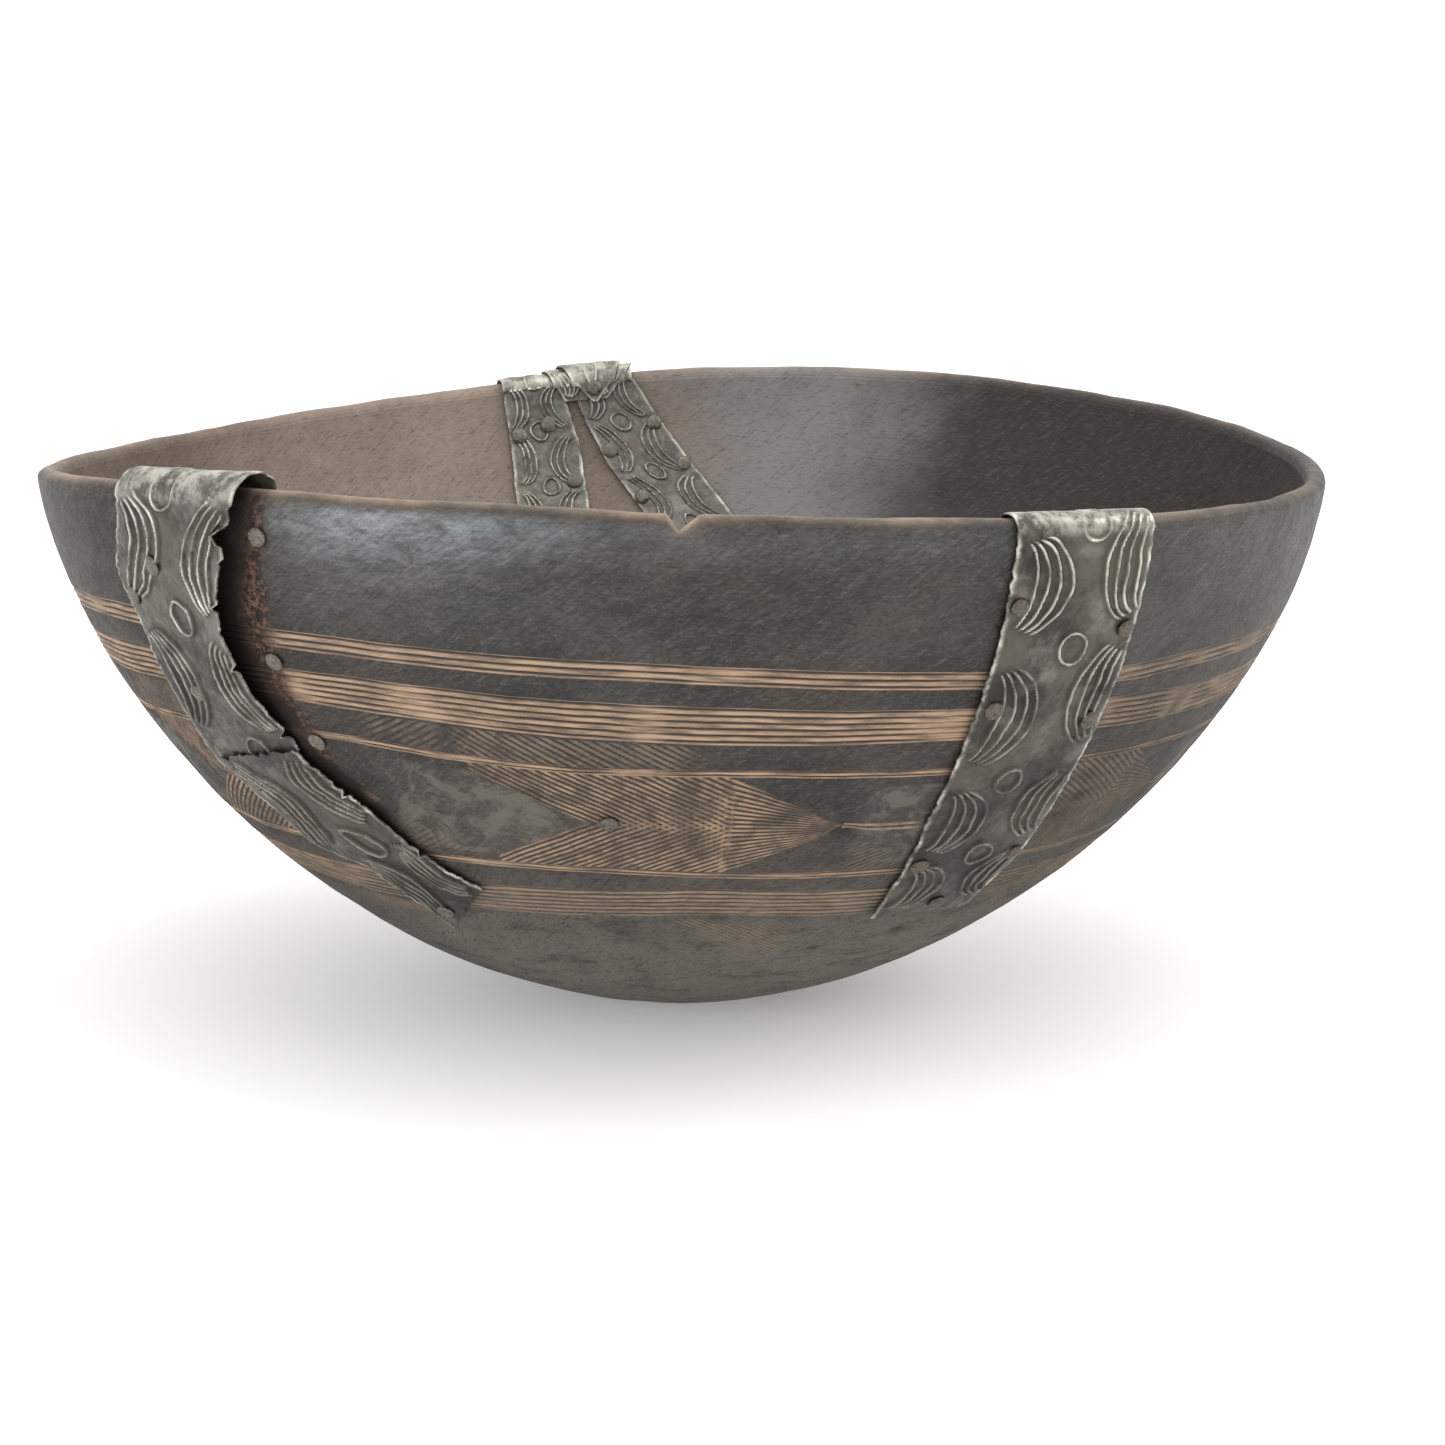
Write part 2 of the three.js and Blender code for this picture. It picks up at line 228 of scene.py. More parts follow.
carving = {
    # each line's height round the bowl, (angle, mm)
    "lines": {
        "topTrio": [(-155.6, 136.5), (-144.8, 135.9), (-128, 134.8), (-104.8, 132.6), (-88.5, 131.9),
                    (-63, 129.1), (-49.8, 127.3), (-37.4, 129.6), (-15, 129.6), (30, 131), (70, 133),
                    (110, 131.5), (160, 134.5)],
        "sixTop": [(-160, 123.8), (-125, 123.4), (-95, 120), (-88.4, 120.1), (-65.7, 118.2), (-35, 117.5),
                   (-15, 117.8), (30, 119.5), (80, 121), (130, 120.5)],
        "sixBottom": [(-165, 113), (-126.4, 113.7), (-95.2, 108.5), (-88.2, 108.3), (-64.5, 108.2),
                      (-35, 107), (-10, 107), (40, 109), (100, 110), (150, 111)],
        "pairTop": [(-160, 102), (-124, 106), (-108, 101.6), (-95.4, 100.4), (-88, 101.3), (-65, 99.8),
                    (-20, 99.5), (60, 101), (130, 100)],
        "pairLow": [(-160, 68.5), (-125, 69), (-96.4, 68.4), (-80, 66.9), (-65.7, 66.4), (0, 67), (100, 68)],
        "sevenTop": [(-160, 60), (-106.5, 59.4), (-87.5, 61.6), (-66.7, 59.2), (0, 60), (100, 61)],
        "sevenBottom": [(-160, 50), (-106.5, 49.3), (-87.5, 51.8), (-66.7, 48.8), (0, 50), (100, 50.5)],
    },
    # bands of grooves: upper line, lower line or width in mm, number of stripes, depth in mm
    "bands": [
        ("topTrio", 6.3, 3, 0.62),
        ("sixTop", "sixBottom", 6, 0.66),
        ("pairTop", 2.9, 2, 0.5),
        ("pairLow", 3.2, 2, 0.35),
        ("sevenTop", "sevenBottom", 7, 0.4),
    ],
    "nominalAngle": -88,
    # angles of the frieze's crossings, seen going round
    "crossings": [-168.5, -145, -121.6, -97.1, -73.3, -49.6, -27, -4.5, 18, 40.5, 63, 85.5, 108, 130.5,
                  153, 172, 191.5],
    "rowsPerStripe": 4,
    "plainRow": 2.7,  # mm between rows of plain wood
    "insideRow": 5.4,
    "columns": 424,
    "lipRows": [8, 6.6, 5.5, 4.7, 4.0, 3.2, 2.3, 1.3, 0, -1.3, -2.3, -3.2, -4.0, -4.7, -5.6, -7, -9.5, -13],
    "toolDents": 0.4,  # mm
    # angle, height, size and depth in mm
    "pits": [
        (-72.7, 80.6, 3.2, 1.5), (-74.4, 82, 2.4, 1.2), (-71.3, 78.5, 2.4, 1.1), (-71.5, 71, 2.8, 0.9),
        (-45.5, 92, 3.2, 1.3), (-44.6, 84, 3, 1.4), (-46, 78.5, 2.4, 1.1), (-56, 40, 3, 0.9),
        (-69, 36, 2.2, 0.8), (-104, 92, 3, 0.5), (-113, 84, 2.5, 0.5), (-101, 152, 3.5, 0.5),
    ],
}
rimDamage = {
    "notchAngle": -90.35,
    "notchLeft": 3.2,
    "notchRight": 5.8,
    "notchDepth": 4.5,
    "wave": 0.5,
}
# a painted sheen, a cool reflection painted into the wood under the rim: angle, spread, share, then the mm
# under the rim where it starts, is full, starts to fade and ends
bloomSpots = [
    (-114, 12, 0.75, 3, 7, 8, 24), (-114, 12, 0.25, 3, 7, 20, 46), (-85, 30, 0.2, 3, 6, 8, 20),
    (-35, 16, 0.1, 3, 8, 14, 40),
]
# the dark band beside the torn strap: rust stain where the strap lay, and a painted shadow of its lifted edge
rustStain = {  # where the torn strap used to lie, as (along, angle)
    "covered": [(0, -125), (18, -126), (45, -127.6), (80, -126.2), (104, -121.5), (125, -119)],
    "tornEdge": [(0, -127), (12, -128.2), (40, -131.2), (52, -131), (69, -129), (81, -128.8),
                 (88, -125.6), (98, -123.1), (110, -120.7), (126, -116.7)],
}


def lineHeight(name, angle):
    angles, heights = np.array(carving["lines"][name], float).T
    order = np.argsort(np.mod(angles, 360))
    angles, heights = np.mod(angles, 360)[order], heights[order]
    spread = [np.interp(np.asarray(angle, float) + step, angles, heights, period=360)
              for step in (-5, -2.5, 0, 2.5, 5)]
    return np.mean(spread, axis=0)


def bandEdges(band, angle):
    upper, lower = band[:2]
    top = alongAt(lineHeight(upper, angle))
    if isinstance(lower, str):
        return top, alongAt(lineHeight(lower, angle))
    return top, top + lower


def bowlRows():
    # rows of the profile as distances along the wall, from under the foot to the inside's middle
    nominal = [bandEdges(band, carving["nominalAngle"]) for band in carving["bands"]]
    rows = [sectionAlong[0], sectionAlong[1] + 12, sectionAlong[1] + 2]
    start = sectionAlong[1]

    def plainRows(end):
        count = max(2, round((start - end) / carving["plainRow"]))
        return list(np.linspace(start, end, count, endpoint=False))

    for (top, bottom), band in reversed(list(zip(nominal, carving["bands"]))):
        rows += plainRows(float(bottom))
        grooveRows = band[2] * carving["rowsPerStripe"]
        rows += list(np.linspace(float(bottom), float(top), grooveRows, endpoint=False))
        start = float(top)
    rows += plainRows(carving["lipRows"][0]) + carving["lipRows"]
    rows += list(np.arange(-18, sectionAlong[-1] + 6, -carving["insideRow"]))
    rows += [sectionAlong[-1]]
    return np.array(rows, float), nominal


def columnAngle(turn):
    # columns stand closer together at the notch in the rim
    fine = np.linspace(-180, 180, 1441)
    density = 1 + 4.5 * np.exp(-((fine - rimDamage["notchAngle"]) / 2.2) ** 2)
    share = np.concatenate([[0], np.cumsum((density[1:] + density[:-1]) / 2)])
    return np.interp(turn, share / share[-1], fine)


def stripeShape(stripes, along, top, bottom):
    # 0 on plain wood, and 0 to 1 down into each groove
    share = (along - top) / (bottom - top)
    within = (share > 0) & (share < 1)
    return np.where(within, 0.5 - 0.5 * np.cos(2 * np.pi * share * stripes), 0), within


def makeBowl():
    rows, nominal = bowlRows()
    radius, height = sectionAt(rows)[:2]
    radius[0] = radius[-1] = 0
    deselectAll()
    mesh = bpy.data.meshes.new("carvedBowl")
    points = [(r * mm, 0, h * mm) for r, h in zip(radius, height)]
    mesh.from_pydata(points, [(i, i + 1) for i in range(len(points) - 1)], [])
    setAttributes(mesh, row=np.arange(len(points)))
    piece = bpy.data.objects.new("carvedBowl", mesh)
    bpy.context.collection.objects.link(piece)
    makeActive(piece)
    bpy.ops.object.mode_set(mode="EDIT")
    bpy.ops.mesh.select_all(action="SELECT")
    bpy.ops.mesh.spin(
        steps=carving["columns"], angle=2 * math.pi, center=(0, 0, 0), axis=(0, 0, 1), use_auto_merge=True,
    )
    closeMesh(1e-6)
    mesh = piece.data
    count = len(mesh.vertices)
    spun = pointsOf(mesh)
    rowIndex = np.empty(count, np.float32)
    mesh.attributes["row"].data.foreach_get("value", rowIndex)
    rowIndex = np.rint(rowIndex).astype(int)
    turn = np.mod(np.degrees(np.arctan2(spun[:, 1], spun[:, 0])) + 180 + 1e-4, 360) / 360
    degrees = columnAngle(turn)
    angle = np.radians(degrees)
    nominalAlong = rows[rowIndex]

    # the rows follow the hand-cut lines
    keys = [12.0]
    shifts = [np.zeros(count)]
    for (top, bottom), band in zip(nominal, carving["bands"]):
        topHere, bottomHere = bandEdges(band, degrees)
        keys += [float(top), float(bottom)]
        shifts += [topHere - top, bottomHere - bottom]
    keys += [190.0]
    shifts += [np.zeros(count)]
    keys, shifts = np.array(keys), np.stack(shifts)
    slot = np.clip(np.searchsorted(keys, nominalAlong) - 1, 0, len(keys) - 2)
    share = np.clip((nominalAlong - keys[slot]) / (keys[slot + 1] - keys[slot]), 0, 1)
    where = np.arange(count)
    along = nominalAlong + shifts[slot, where] * (1 - share) + shifts[slot + 1, where] * share

    # grooves, tool dents, pits and the broken rim, all cut into the wood
    place = wallPoint(along, angle, 0)
    coarse = roughness(place, 34, 3)
    fine = roughness(place + 500, 9, 3)
    outside = smoothStep(-2, 4, nominalAlong)
    cut = carving["toolDents"] * (np.clip(0.35 + coarse, 0, 1) + 0.35 * np.clip(fine, -0.4, 1))
    groove = np.zeros(count)
    banded = np.zeros(count)
    for (top, bottom), band in zip(nominal, carving["bands"]):
        shape, within = stripeShape(band[2], nominalAlong, top, bottom)
        worn = np.clip(0.95 + 0.7 * roughness(place * [1, 1, 0.3] + 900, 26, 2), 0.25, 1.15)
        cut += band[3] * shape * worn
        groove = np.maximum(groove, shape * np.clip(worn, 0, 1))
        banded = np.maximum(banded, within * np.clip(worn, 0, 1))
    pits = np.zeros(count)
    for pitAngle, pitHeight, size, depth in carving["pits"]:
        reachAround = (degrees - pitAngle) * np.pi / 180 * outsideRadius(pitHeight)
        reachAlong = along - alongAt(pitHeight)
        hollow = np.exp(-(reachAround ** 2 + (reachAlong * 1.3) ** 2) / size ** 2) * (along > 0)
        cut += depth * hollow
        pits += hollow * min(depth, 1)
    fromLip = np.abs(nominalAlong)
    place = wallPoint(along, angle, -cut * smoothStep(0, 3, fromLip))
    rimShare = smoothStep(20, 0, fromLip)
    place[:, 2] += rimDamage["wave"] * rimShare * roughness(place * [1, 1, 0] + 77, 30, 3)
    across = (degrees - rimDamage["notchAngle"]) * np.pi / 180 * wall["rimRadius"]
    notch = np.clip(1 - np.maximum(-across / rimDamage["notchLeft"], across / rimDamage["notchRight"]), 0, 1)
    brokenHere = notch * smoothStep(9, 1, fromLip)
    place[:, 2] -= rimDamage["notchDepth"] * brokenHere
    place[:, 2] = np.maximum(place[:, 2], 0)
    movePoints(mesh, place * mm)

    # attributes and maps that the finish follows
    lipEdge = np.exp(-((nominalAlong - 0.6) / 2.6) ** 2)
    # painted sheen: a pale, cool reflection painted into the wood under the rim
    bloom = np.zeros(count)
    for spotAngle, spread, share, start, full, fade, end in bloomSpots:
        around = np.exp(-((degrees - spotAngle) / spread) ** 2)
        bloom += share * around * smoothStep(start, full, along) * smoothStep(end, fade, along)
    # rust stain, painted solid near-black by the torn edge as the lifted strap's shadow; specks only further
    # out
    covered, tornEdge = [np.interp(along, *np.transpose(rustStain[name])) for name in ("covered", "tornEdge")]
    rust = smoothStep(covered + 1.2, covered - 0.8, degrees + 0.7 * fine) * (along > 0)
    rust = rust * smoothStep(-139, -137, degrees) * smoothStep(128, 96, along) * outside
    reachOut = np.where(along > 0, wall["rimRadius"], np.hypot(place[:, 0], place[:, 1]))
    setAttributes(
        mesh, groove=groove, banded=banded, inside=smoothStep(3.2, -3.5, nominalAlong + 0.8 * fine),
        rimWear=np.clip(0.85 * lipEdge + 0.9 * brokenHere, 0, 1), bloom=np.clip(bloom, 0, 1),
        pit=np.clip(pits, 0, 1), rust=rust,
        rustEdge=smoothStep(tornEdge + 0.2, tornEdge + 2.6, degrees + 0.6 * fine),
        depth=np.clip((along + 10) / 273, 0, 1),
        left=0.5 - 0.5 * np.cos(angle) * np.clip(reachOut / 185, 0, 1),
    )
    setBowlMaps(mesh, degrees, nominalAlong, rowIndex, len(rows))
    mesh.attributes.remove(mesh.attributes["row"])
    mesh.update()
    makeActive(piece)
    bpy.ops.object.shade_smooth()
    print("bowl:", len(mesh.polygons), "faces")
    return piece


def setBowlMaps(mesh, degrees, nominalAlong, rowIndex, rowCount):
    loops = wholeNumbers(mesh.loops, "vertex_index")
    starts = wholeNumbers(mesh.polygons, "loop_start")
    totals = wholeNumbers(mesh.polygons, "loop_total")
    face = np.repeat(np.arange(len(starts)), totals)
    pole = (rowIndex[loops] == 0) | (rowIndex[loops] == rowCount - 1)
    turn = degrees[loops].copy()
    high = np.maximum.reduceat(np.where(pole, -999, turn), starts)[face]
    turn = np.where((high - turn > 180) & ~pole, turn + 360, turn)
    low = np.minimum.reduceat(np.where(pole, 999, turn), starts)[face]
    high = np.maximum.reduceat(np.where(pole, -999, turn), starts)[face]
    turn = np.where(pole, (low + high) / 2, turn)
    along = nominalAlong[loops]
    crossing = np.array(carving["crossings"])
    cells = np.arange(len(crossing))
    lowTurn = np.where(turn < crossing[0], turn + 360, turn)
    lowFace = np.minimum.reduceat(lowTurn, starts)[face]
    highFace = np.maximum.reduceat(lowTurn, starts)[face]
    lowTurn = np.where((highFace - lowFace > 180) & (lowTurn > 100), lowTurn - 360, lowTurn)
    setLoopMap(mesh, "frieze", np.interp(lowTurn, crossing, cells), along / 100)
    setLoopMap(mesh, "surface", turn * np.pi / 180 * 1.7, along / 100)
    # the layout for a flat finish: four quarters of the outside over four of the inside
    middle = (np.add.reduceat(turn, starts) / totals)[face]
    quarter = np.clip(np.floor((middle + 180) / 90), 0, 3)
    pad = 0.012
    u = (quarter + pad + (1 - 2 * pad) * np.clip((turn + 180) / 90 - quarter, -0.02, 1.02)) / 4
    faceAlong = (np.add.reduceat(along, starts) / totals)[face]
    outer = np.clip(along / sectionAlong[0], 0, 1)
    inner = np.clip(along / sectionAlong[-1], 0, 1)
    v = np.where(faceAlong > 0, 0.505 + 0.49 * outer, 0.005 + 0.49 * inner)
    setLoopMap(mesh, "OFBake", u, v)


# the repair straps

sheet = {"thickness": 0.8, "gap": 0.65, "lap": 0.45, "shown": 0.5}

# rings: along and aside from the middle. groups of arcs: along and half length. tears: along,
# depth and half width. stations of each sheet from its outer end over the rim to its inner end:
# along, angle, width, and where they aren't 0 the tilt, the lift of the edge with the larger
# angle and the layers under it
straps = {
    "strap_right": {
        "stations": [(149, -56.5, 34), (122, -56.2, 41), (100, -56.8, 44), (60, -57, 46), (0, -57.6, 47),
                     (-24, -57.6, 46)],
        "rings": [(3.5, 2), (40, 1.5), (85.5, -2), (117.5, 2.5)],
        "groups": [(21.5, 16.5), (62.5, 19), (103, 15), (134, 12.5), (-14, 12)],
        "slip": -0.32,  # how far the arcs along the other edge sit above their partners
        "jag": 0.5, "pale": 0.05, "ringSize": 4.6,
    },
    "strap_left_upper": {
        "stations": [(91, -136.8, 46, -12), (80, -137, 49, -6), (61, -138.1, 47.5, 0, 3),
                     (40, -138.5, 48.5, 0, 5), (27, -138.4, 57, 0, 5), (0, -135, 56, 0, 4), (-26, -135, 54)],
        "rings": [(3.5, -4), (40, 2), (84, 6)], "foldLift": 2.6,
        "groups": [(21, 17.5), (61, 18), (-14, 12)],
        "jag": 1.3, "pale": 0.08, "ringSize": 4.8,
        "tears": [(13.5, 5.6, 2.6), (77.5, 2.4, 1.4), (33, 1.6, 1.4), (52, 1.4, 1.2), (9, -1.2, 1.6),
                  (19, -1.4, 1.8)],
    },
    "strap_left_lower": {
        "stations": [(147, -118.4, 34.5, -50), (137, -121.3, 30, -44), (121, -125.3, 30, -38, 1),
                     (111, -130, 45, -33, 1), (98, -132.5, 40, -20, 0, 1), (85, -136, 43, -12, 0, 1)],
        "rings": [(117, 1)],
        "groups": [(101, 15), (133, 14)],
        "jag": 1.1, "pale": 0.05, "ringSize": 4.6,
        "tears": [(128, 1.0, 1.3), (104, 1.2, 1.2)],
    },
    "strap_back_left": {
        "stations": [(28, 107.9, 23), (0, 107.9, 23), (-11, 107.7, 23), (-28, 106.7, 25.5), (-75, 106.1, 28)],
        "rings": [(-3, 0), (-22, 1), (-42, -1), (-62, 0), (16, 0)],
        "groups": [(-12.5, 9.5), (-32, 9.5), (-52, 9.5), (-70, 7), (7, 8)],
        "jag": 0.3, "pale": 0.9, "ringSize": 3.1, "fine": 0.62, "arcs": 3,
    },
    "strap_back_right": {
        "stations": [(28, 100.4, 23), (0, 100.4, 23), (-5, 100.3, 23.5), (-20, 97.9, 27), (-36, 94.9, 30),
                     (-52, 91, 31), (-80, 84.5, 31)],
        "rings": [(-21, 1), (-39, 0), (-59, 0), (16, 0)],
        "groups": [(-11.5, 9), (-30, 9.5), (-49, 9.5), (-68, 9), (7, 8)],
        "jag": 0.3, "pale": 0.9, "ringSize": 3.1, "fine": 0.62, "arcs": 3,
    },
    "tab_back_lower": {
        "stations": [(22, 101.6, 32, 0, 0, 1), (0, 101.6, 33, 0, 0, 1), (-12, 102, 16, 0, 0, 1)],
        "rings": [(-2, -9), (14, 3)],
        "groups": [(-6, 5)],
        "jag": 0.15, "pale": 1.0, "ringSize": 2.6, "fine": 0.65,
    },
    "tab_back_upper": {
        "stations": [(16, 101.4, 24, 0, 0, 2), (0, 101.4, 23.5, 0, 0, 2), (-13, 101, 2, 0, 0, 2)],
        "rings": [(-3, 0.5), (9, 0)],
        "groups": [(2, 4)],
        "jag": 0.1, "pale": 1.0, "ringSize": 2.2, "fine": 0.65,
    },
}
stamping = {
    "ridge": 0.95,  # mm that the stamped lines stand up
    "width": 0.6,  # half width of a line, mm
    "arcs": 4,
    "dents": 0.5,
    "step": 0.56,  # mm between the mesh's rows and columns
    "foldRelief": 0.3,  # share of the relief left where the sheet goes over the rim
    "arcReach": (0.41, 0.35),  # share of the width that the widest arc takes, from either edge
    "arcStep": 0.085,  # how much less of the width the next one takes
    "wander": (1.3, 0.9),  # mm that the lines stray, along and across
    "hollow": 0.3,  # mm that the tin is drawn down beside a line
    "crumple": 0.12,
    "curl": 1.6,  # mm that a torn edge turns up
}


def stationAt(stations, along):
    table = np.array([station + (0,) * (6 - len(station)) for station in stations], float)
    order = np.argsort(table[:, 0])
    return [np.interp(along, table[order, 0], table[order, i]) for i in range(1, 6)]


def sheetPlace(stations, along, across):
    # across runs from -1 to 1 over the sheet's width
    angle, width, tilt, raised, layers = stationAt(stations, along)
    reach = across * width / 2
    lean = np.radians(tilt)
    placeAlong = along + reach * np.sin(lean)
    radius = sectionAt(placeAlong)[0]
    turn = np.radians(angle) + reach * np.cos(lean) / radius
    bottom = sheet["gap"] + layers * (sheet["thickness"] + sheet["lap"]) + raised * np.maximum(across, 0) ** 2
    return placeAlong, turn, bottom, width


def ridgeLine(distance, spread=1.0):
    return np.exp(-(distance / (stamping["width"] * spread)) ** 2)


def stampedLines(strap, along, across, width, spread=1.0):
    # nested arcs along both edges and small rings down the middle
    raised = np.zeros_like(along)
    spread = spread * strap.get("fine", 1)
    reach = across * width / 2
    spot = np.stack([along, reach, width], 1)
    along = along + stamping["wander"][0] * roughness(spot + 40, 13, 2)
    reach = reach + stamping["wander"][1] * roughness(spot + 90, 11, 2)
    sides = ((-1, stamping["arcReach"][0], -0.06), (1, stamping["arcReach"][1], strap.get("slip", 0)))
    for middle, half in strap["groups"]:
        for side, arcReach, slip in sides:
            for j in range(strap.get("arcs", stamping["arcs"])):
                semiAlong = half * (1 - 0.05 * j)
                semiAcross = width * (arcReach - stamping["arcStep"] * j) + 0.4
                stepAlong = along - middle - slip * half
                stepAcross = reach - side * width / 2
                e = np.sqrt((stepAlong / semiAlong) ** 2 + (stepAcross / semiAcross) ** 2) + 1e-6
                slope = np.sqrt((stepAlong / semiAlong ** 2) ** 2 + (stepAcross / semiAcross ** 2) ** 2) / e
                ends = smoothStep(0.96, 0.86, np.abs(stepAlong) / semiAlong)
                raised = np.maximum(raised, ridgeLine((e - 1) / (slope + 1e-6), spread) * ends)
    for middle, aside in strap["rings"]:
        distance = np.hypot(along - middle, reach - aside)
        ring = ridgeLine(distance - strap["ringSize"], spread)
        raised = np.maximum(np.where(distance < strap["ringSize"] + 1.6, 0, raised), ring)
    return raised


def makeStrap(name):
    strap = straps[name]
    stations = strap["stations"]
    first, last = stations[0][0], stations[-1][0]
    widest = max(s[2] for s in stations)
    step = stamping["step"] * strap.get("fine", 1) ** 0.5
    columns = round(widest / step)
    rowCount = round((first - last) / step)
    deselectAll()
    bpy.ops.mesh.primitive_grid_add(x_subdivisions=columns, y_subdivisions=rowCount, size=2)
    piece = bpy.context.object
    piece.name = name.replace("strap", "stampedStrap").replace("tab", "foldedTab")
    mesh = piece.data
    mesh.name = piece.name
    grid = pointsOf(mesh)
    count = len(grid)
    across = grid[:, 0]
    along = last + (first - last) * (grid[:, 1] + 1) / 2
    width = stationAt(stations, along)[1]

    # ragged edges, where the tin was snipped and has torn
    seed = sum(ord(c) for c in name)
    edgePoint = np.stack([along, np.sign(across) * 40, np.full(count, seed)], 1)
    jag = strap["jag"] * roughness(edgePoint, 1.9, 3)
    torn = np.zeros(count)
    for tearAlong, depth, half in strap.get("tears", []):
        tearShape = np.clip(1 - np.abs(along - tearAlong) / half, 0, 1)
        torn += depth * tearShape * (across > 0)
    nearEdge = smoothStep(0.72, 1, np.abs(across))
    moved = across * (1 + nearEdge * (jag - torn) / (width / 2))
    endPoint = np.stack([across * 20, np.sign(grid[:, 1]) * 30, np.full(count, seed)], 1)
    endJag = strap["jag"] * roughness(endPoint, 2.5, 2)
    nearEnd = smoothStep(6, 0, np.minimum(first - along, along - last))
    alongMoved = along + endJag * nearEnd * np.sign(grid[:, 1])

    placeAlong, turn, bottom, width = sheetPlace(stations, alongMoved, moved)
    lines = stampedLines(strap, along, across, width)
    flat = wallPoint(placeAlong, turn, bottom)
    dents = roughness(flat + seed, 11, 3)
    crumple = roughness(flat + seed * 2, 4.5, 2)
    curl = stamping["curl"] * smoothStep(0.9, 1, across) * np.clip(torn, 0, 1)
    swell = stampedLines(strap, along, across, width, 2.4)
    relief = stamping["ridge"] * lines - stamping["hollow"] * swell * (1 - lines)
    relief = relief * strap.get("fine", 1) + stamping["crumple"] * crumple + curl
    relief += stamping["dents"] * np.clip(dents, -0.5, 1)
    fold = np.exp(-(along / 5.5) ** 4)
    relief = relief * (1 - (1 - stamping["foldRelief"]) * fold)
    lift = strap.get("foldLift", 0) * np.exp(-(along / 6.5) ** 2) * (1 - 1.35 * np.maximum(across, 0) ** 2)
    flatEdge = smoothStep(1.0, 0.965, np.abs(across) * 0.98)
    height = bottom + sheet["thickness"] + lift + np.maximum(relief + 0.15, -0.15) * flatEdge
    place = wallPoint(placeAlong, turn, height)
    movePoints(mesh, place * mm)
    mesh.uv_layers.remove(mesh.uv_layers[0])
    # rubbed sheet edges, and the fold over the rim painted bright, partly wear and partly a painted highlight
    edgeWear = smoothStep(1.5, 0.3, (1 - np.abs(across)) * width / 2) * np.clip(0.6 + 0.6 * crumple, 0, 1)
    # darker beside each stamped line: partly dirt, partly painted shade
    setAttributes(
        mesh, ridge=lines, recess=np.clip(swell - lines, 0, 1), edge=np.clip(edgeWear + 0.7 * fold, 0, 1),
        pale=np.full(count, strap["pale"]), low=np.clip(along / 150, 0, 1),
    )
    loops = wholeNumbers(mesh.loops, "vertex_index")
    setLoopMap(mesh, "strapLength", (across * width / 200)[loops], along[loops] / 100)
    setLoopMap(mesh, "OFBake", (0.01 + 0.235 * (across + 1))[loops], (0.01 + 0.49 * (grid[:, 1] + 1))[loops])
    mesh.update()

    # the sheet's thickness, with the under side given its own half of the layout
    makeActive(piece)
    bpy.ops.object.mode_set(mode="EDIT")
    bpy.ops.mesh.select_all(action="SELECT")
    bpy.ops.mesh.normals_make_consistent(inside=False)
    bpy.ops.object.mode_set(mode="OBJECT")
    outward = wallPoint(placeAlong[:1], turn[:1], 5)[0] - wallPoint(placeAlong[:1], turn[:1], 0)[0]
    if mesh.polygons[0].normal.dot(Vector(outward)) < 0:
        mesh.flip_normals()
    topFaces = len(mesh.polygons)
    solid = piece.modifiers.new("thickness", "SOLIDIFY")
    solid.thickness = sheet["shown"] * mm
    solid.offset = -1
    solid.use_quality_normals = True
    bpy.ops.object.modifier_apply(modifier=solid.name)
    layout = piece.data.uv_layers["OFBake"].data
    for polygon in piece.data.polygons[topFaces:2 * topFaces]:
        for i in polygon.loop_indices:
            layout[i].uv[0] += 0.5
    bpy.ops.object.shade_smooth_by_angle(angle=math.radians(50))
    return piece


# nails

nails = {
    "headRadius": 2.75,
    "headHeight": 1.25,
    "seat": 0.3,
    "shankRadius": 0.95,
    "depth": 4.5,
    "sides": 20,
    # each ring of the head: its share of the height, and how much narrower it is than the last
    "headRings": [(0.2, 1.02), (0.28, 0.94), (0.26, 0.82), (0.16, 0.64), (0.08, 0.45)],
    "pale": {"_back_": 0.9, "_torn_": 0.55, "_left_": 0.6, "_frieze": 0.3, "_right_": 0.15},  # bare metal
    # through a sheet: along, across
    "throughSheets": {
        "strap_right": {
            "nail_right_1": (26.4, -0.84), "nail_right_2": (34.8, 0.84), "nail_right_3": (59, -0.78),
            "nail_right_4": (65.4, 0.76), "nail_right_5": (121, -0.8), "nail_right_6": (120, 0.8),
            "nail_right_7": (143, 0.1),
        },
        "strap_left_upper": {
            "nail_left_1": (25, -0.24), "nail_left_2": (35, -0.82), "nail_left_3": (65, -0.32),
        },
        "strap_left_lower": {
            "nail_left_4": (93, -0.72), "nail_left_5": (126, 0.6), "nail_left_6": (143, -0.5),
        },
        "strap_back_left": {
            "nail_back_1": (-22.5, 0.7), "nail_back_2": (-19.5, -0.25), "nail_back_3": (-40.5, -0.72),
        },
        "strap_back_right": {
            "nail_back_4": (-30.5, 0.78), "nail_back_5": (-21.5, -0.78), "nail_back_6": (-36.5, -0.8),
            "nail_back_7": (-48, 0.78),
        },
        "tab_back_upper": {"nail_back_tab": (-8, 0)},
    },
    # in bare wood: along, angle
    "inWood": {
        "nail_torn_1": (14.5, -126.3), "nail_torn_2": (51.6, -127.7), "nail_torn_3": (78, -126.2),
        "nail_frieze": (100.8, -96.9),
    },
}


def nailSeats():
    seats = {}
    for strapName, spots in nails["throughSheets"].items():
        for name, (along, across) in spots.items():
            placeAlong, turn, bottom = sheetPlace(straps[strapName]["stations"], along, across)[:3]
            seats[name] = (placeAlong, turn, bottom + sheet["thickness"] + nails["seat"])
    for name, (along, angle) in nails["inWood"].items():
        seats[name] = (along, math.radians(angle), nails["seat"])
    return seats


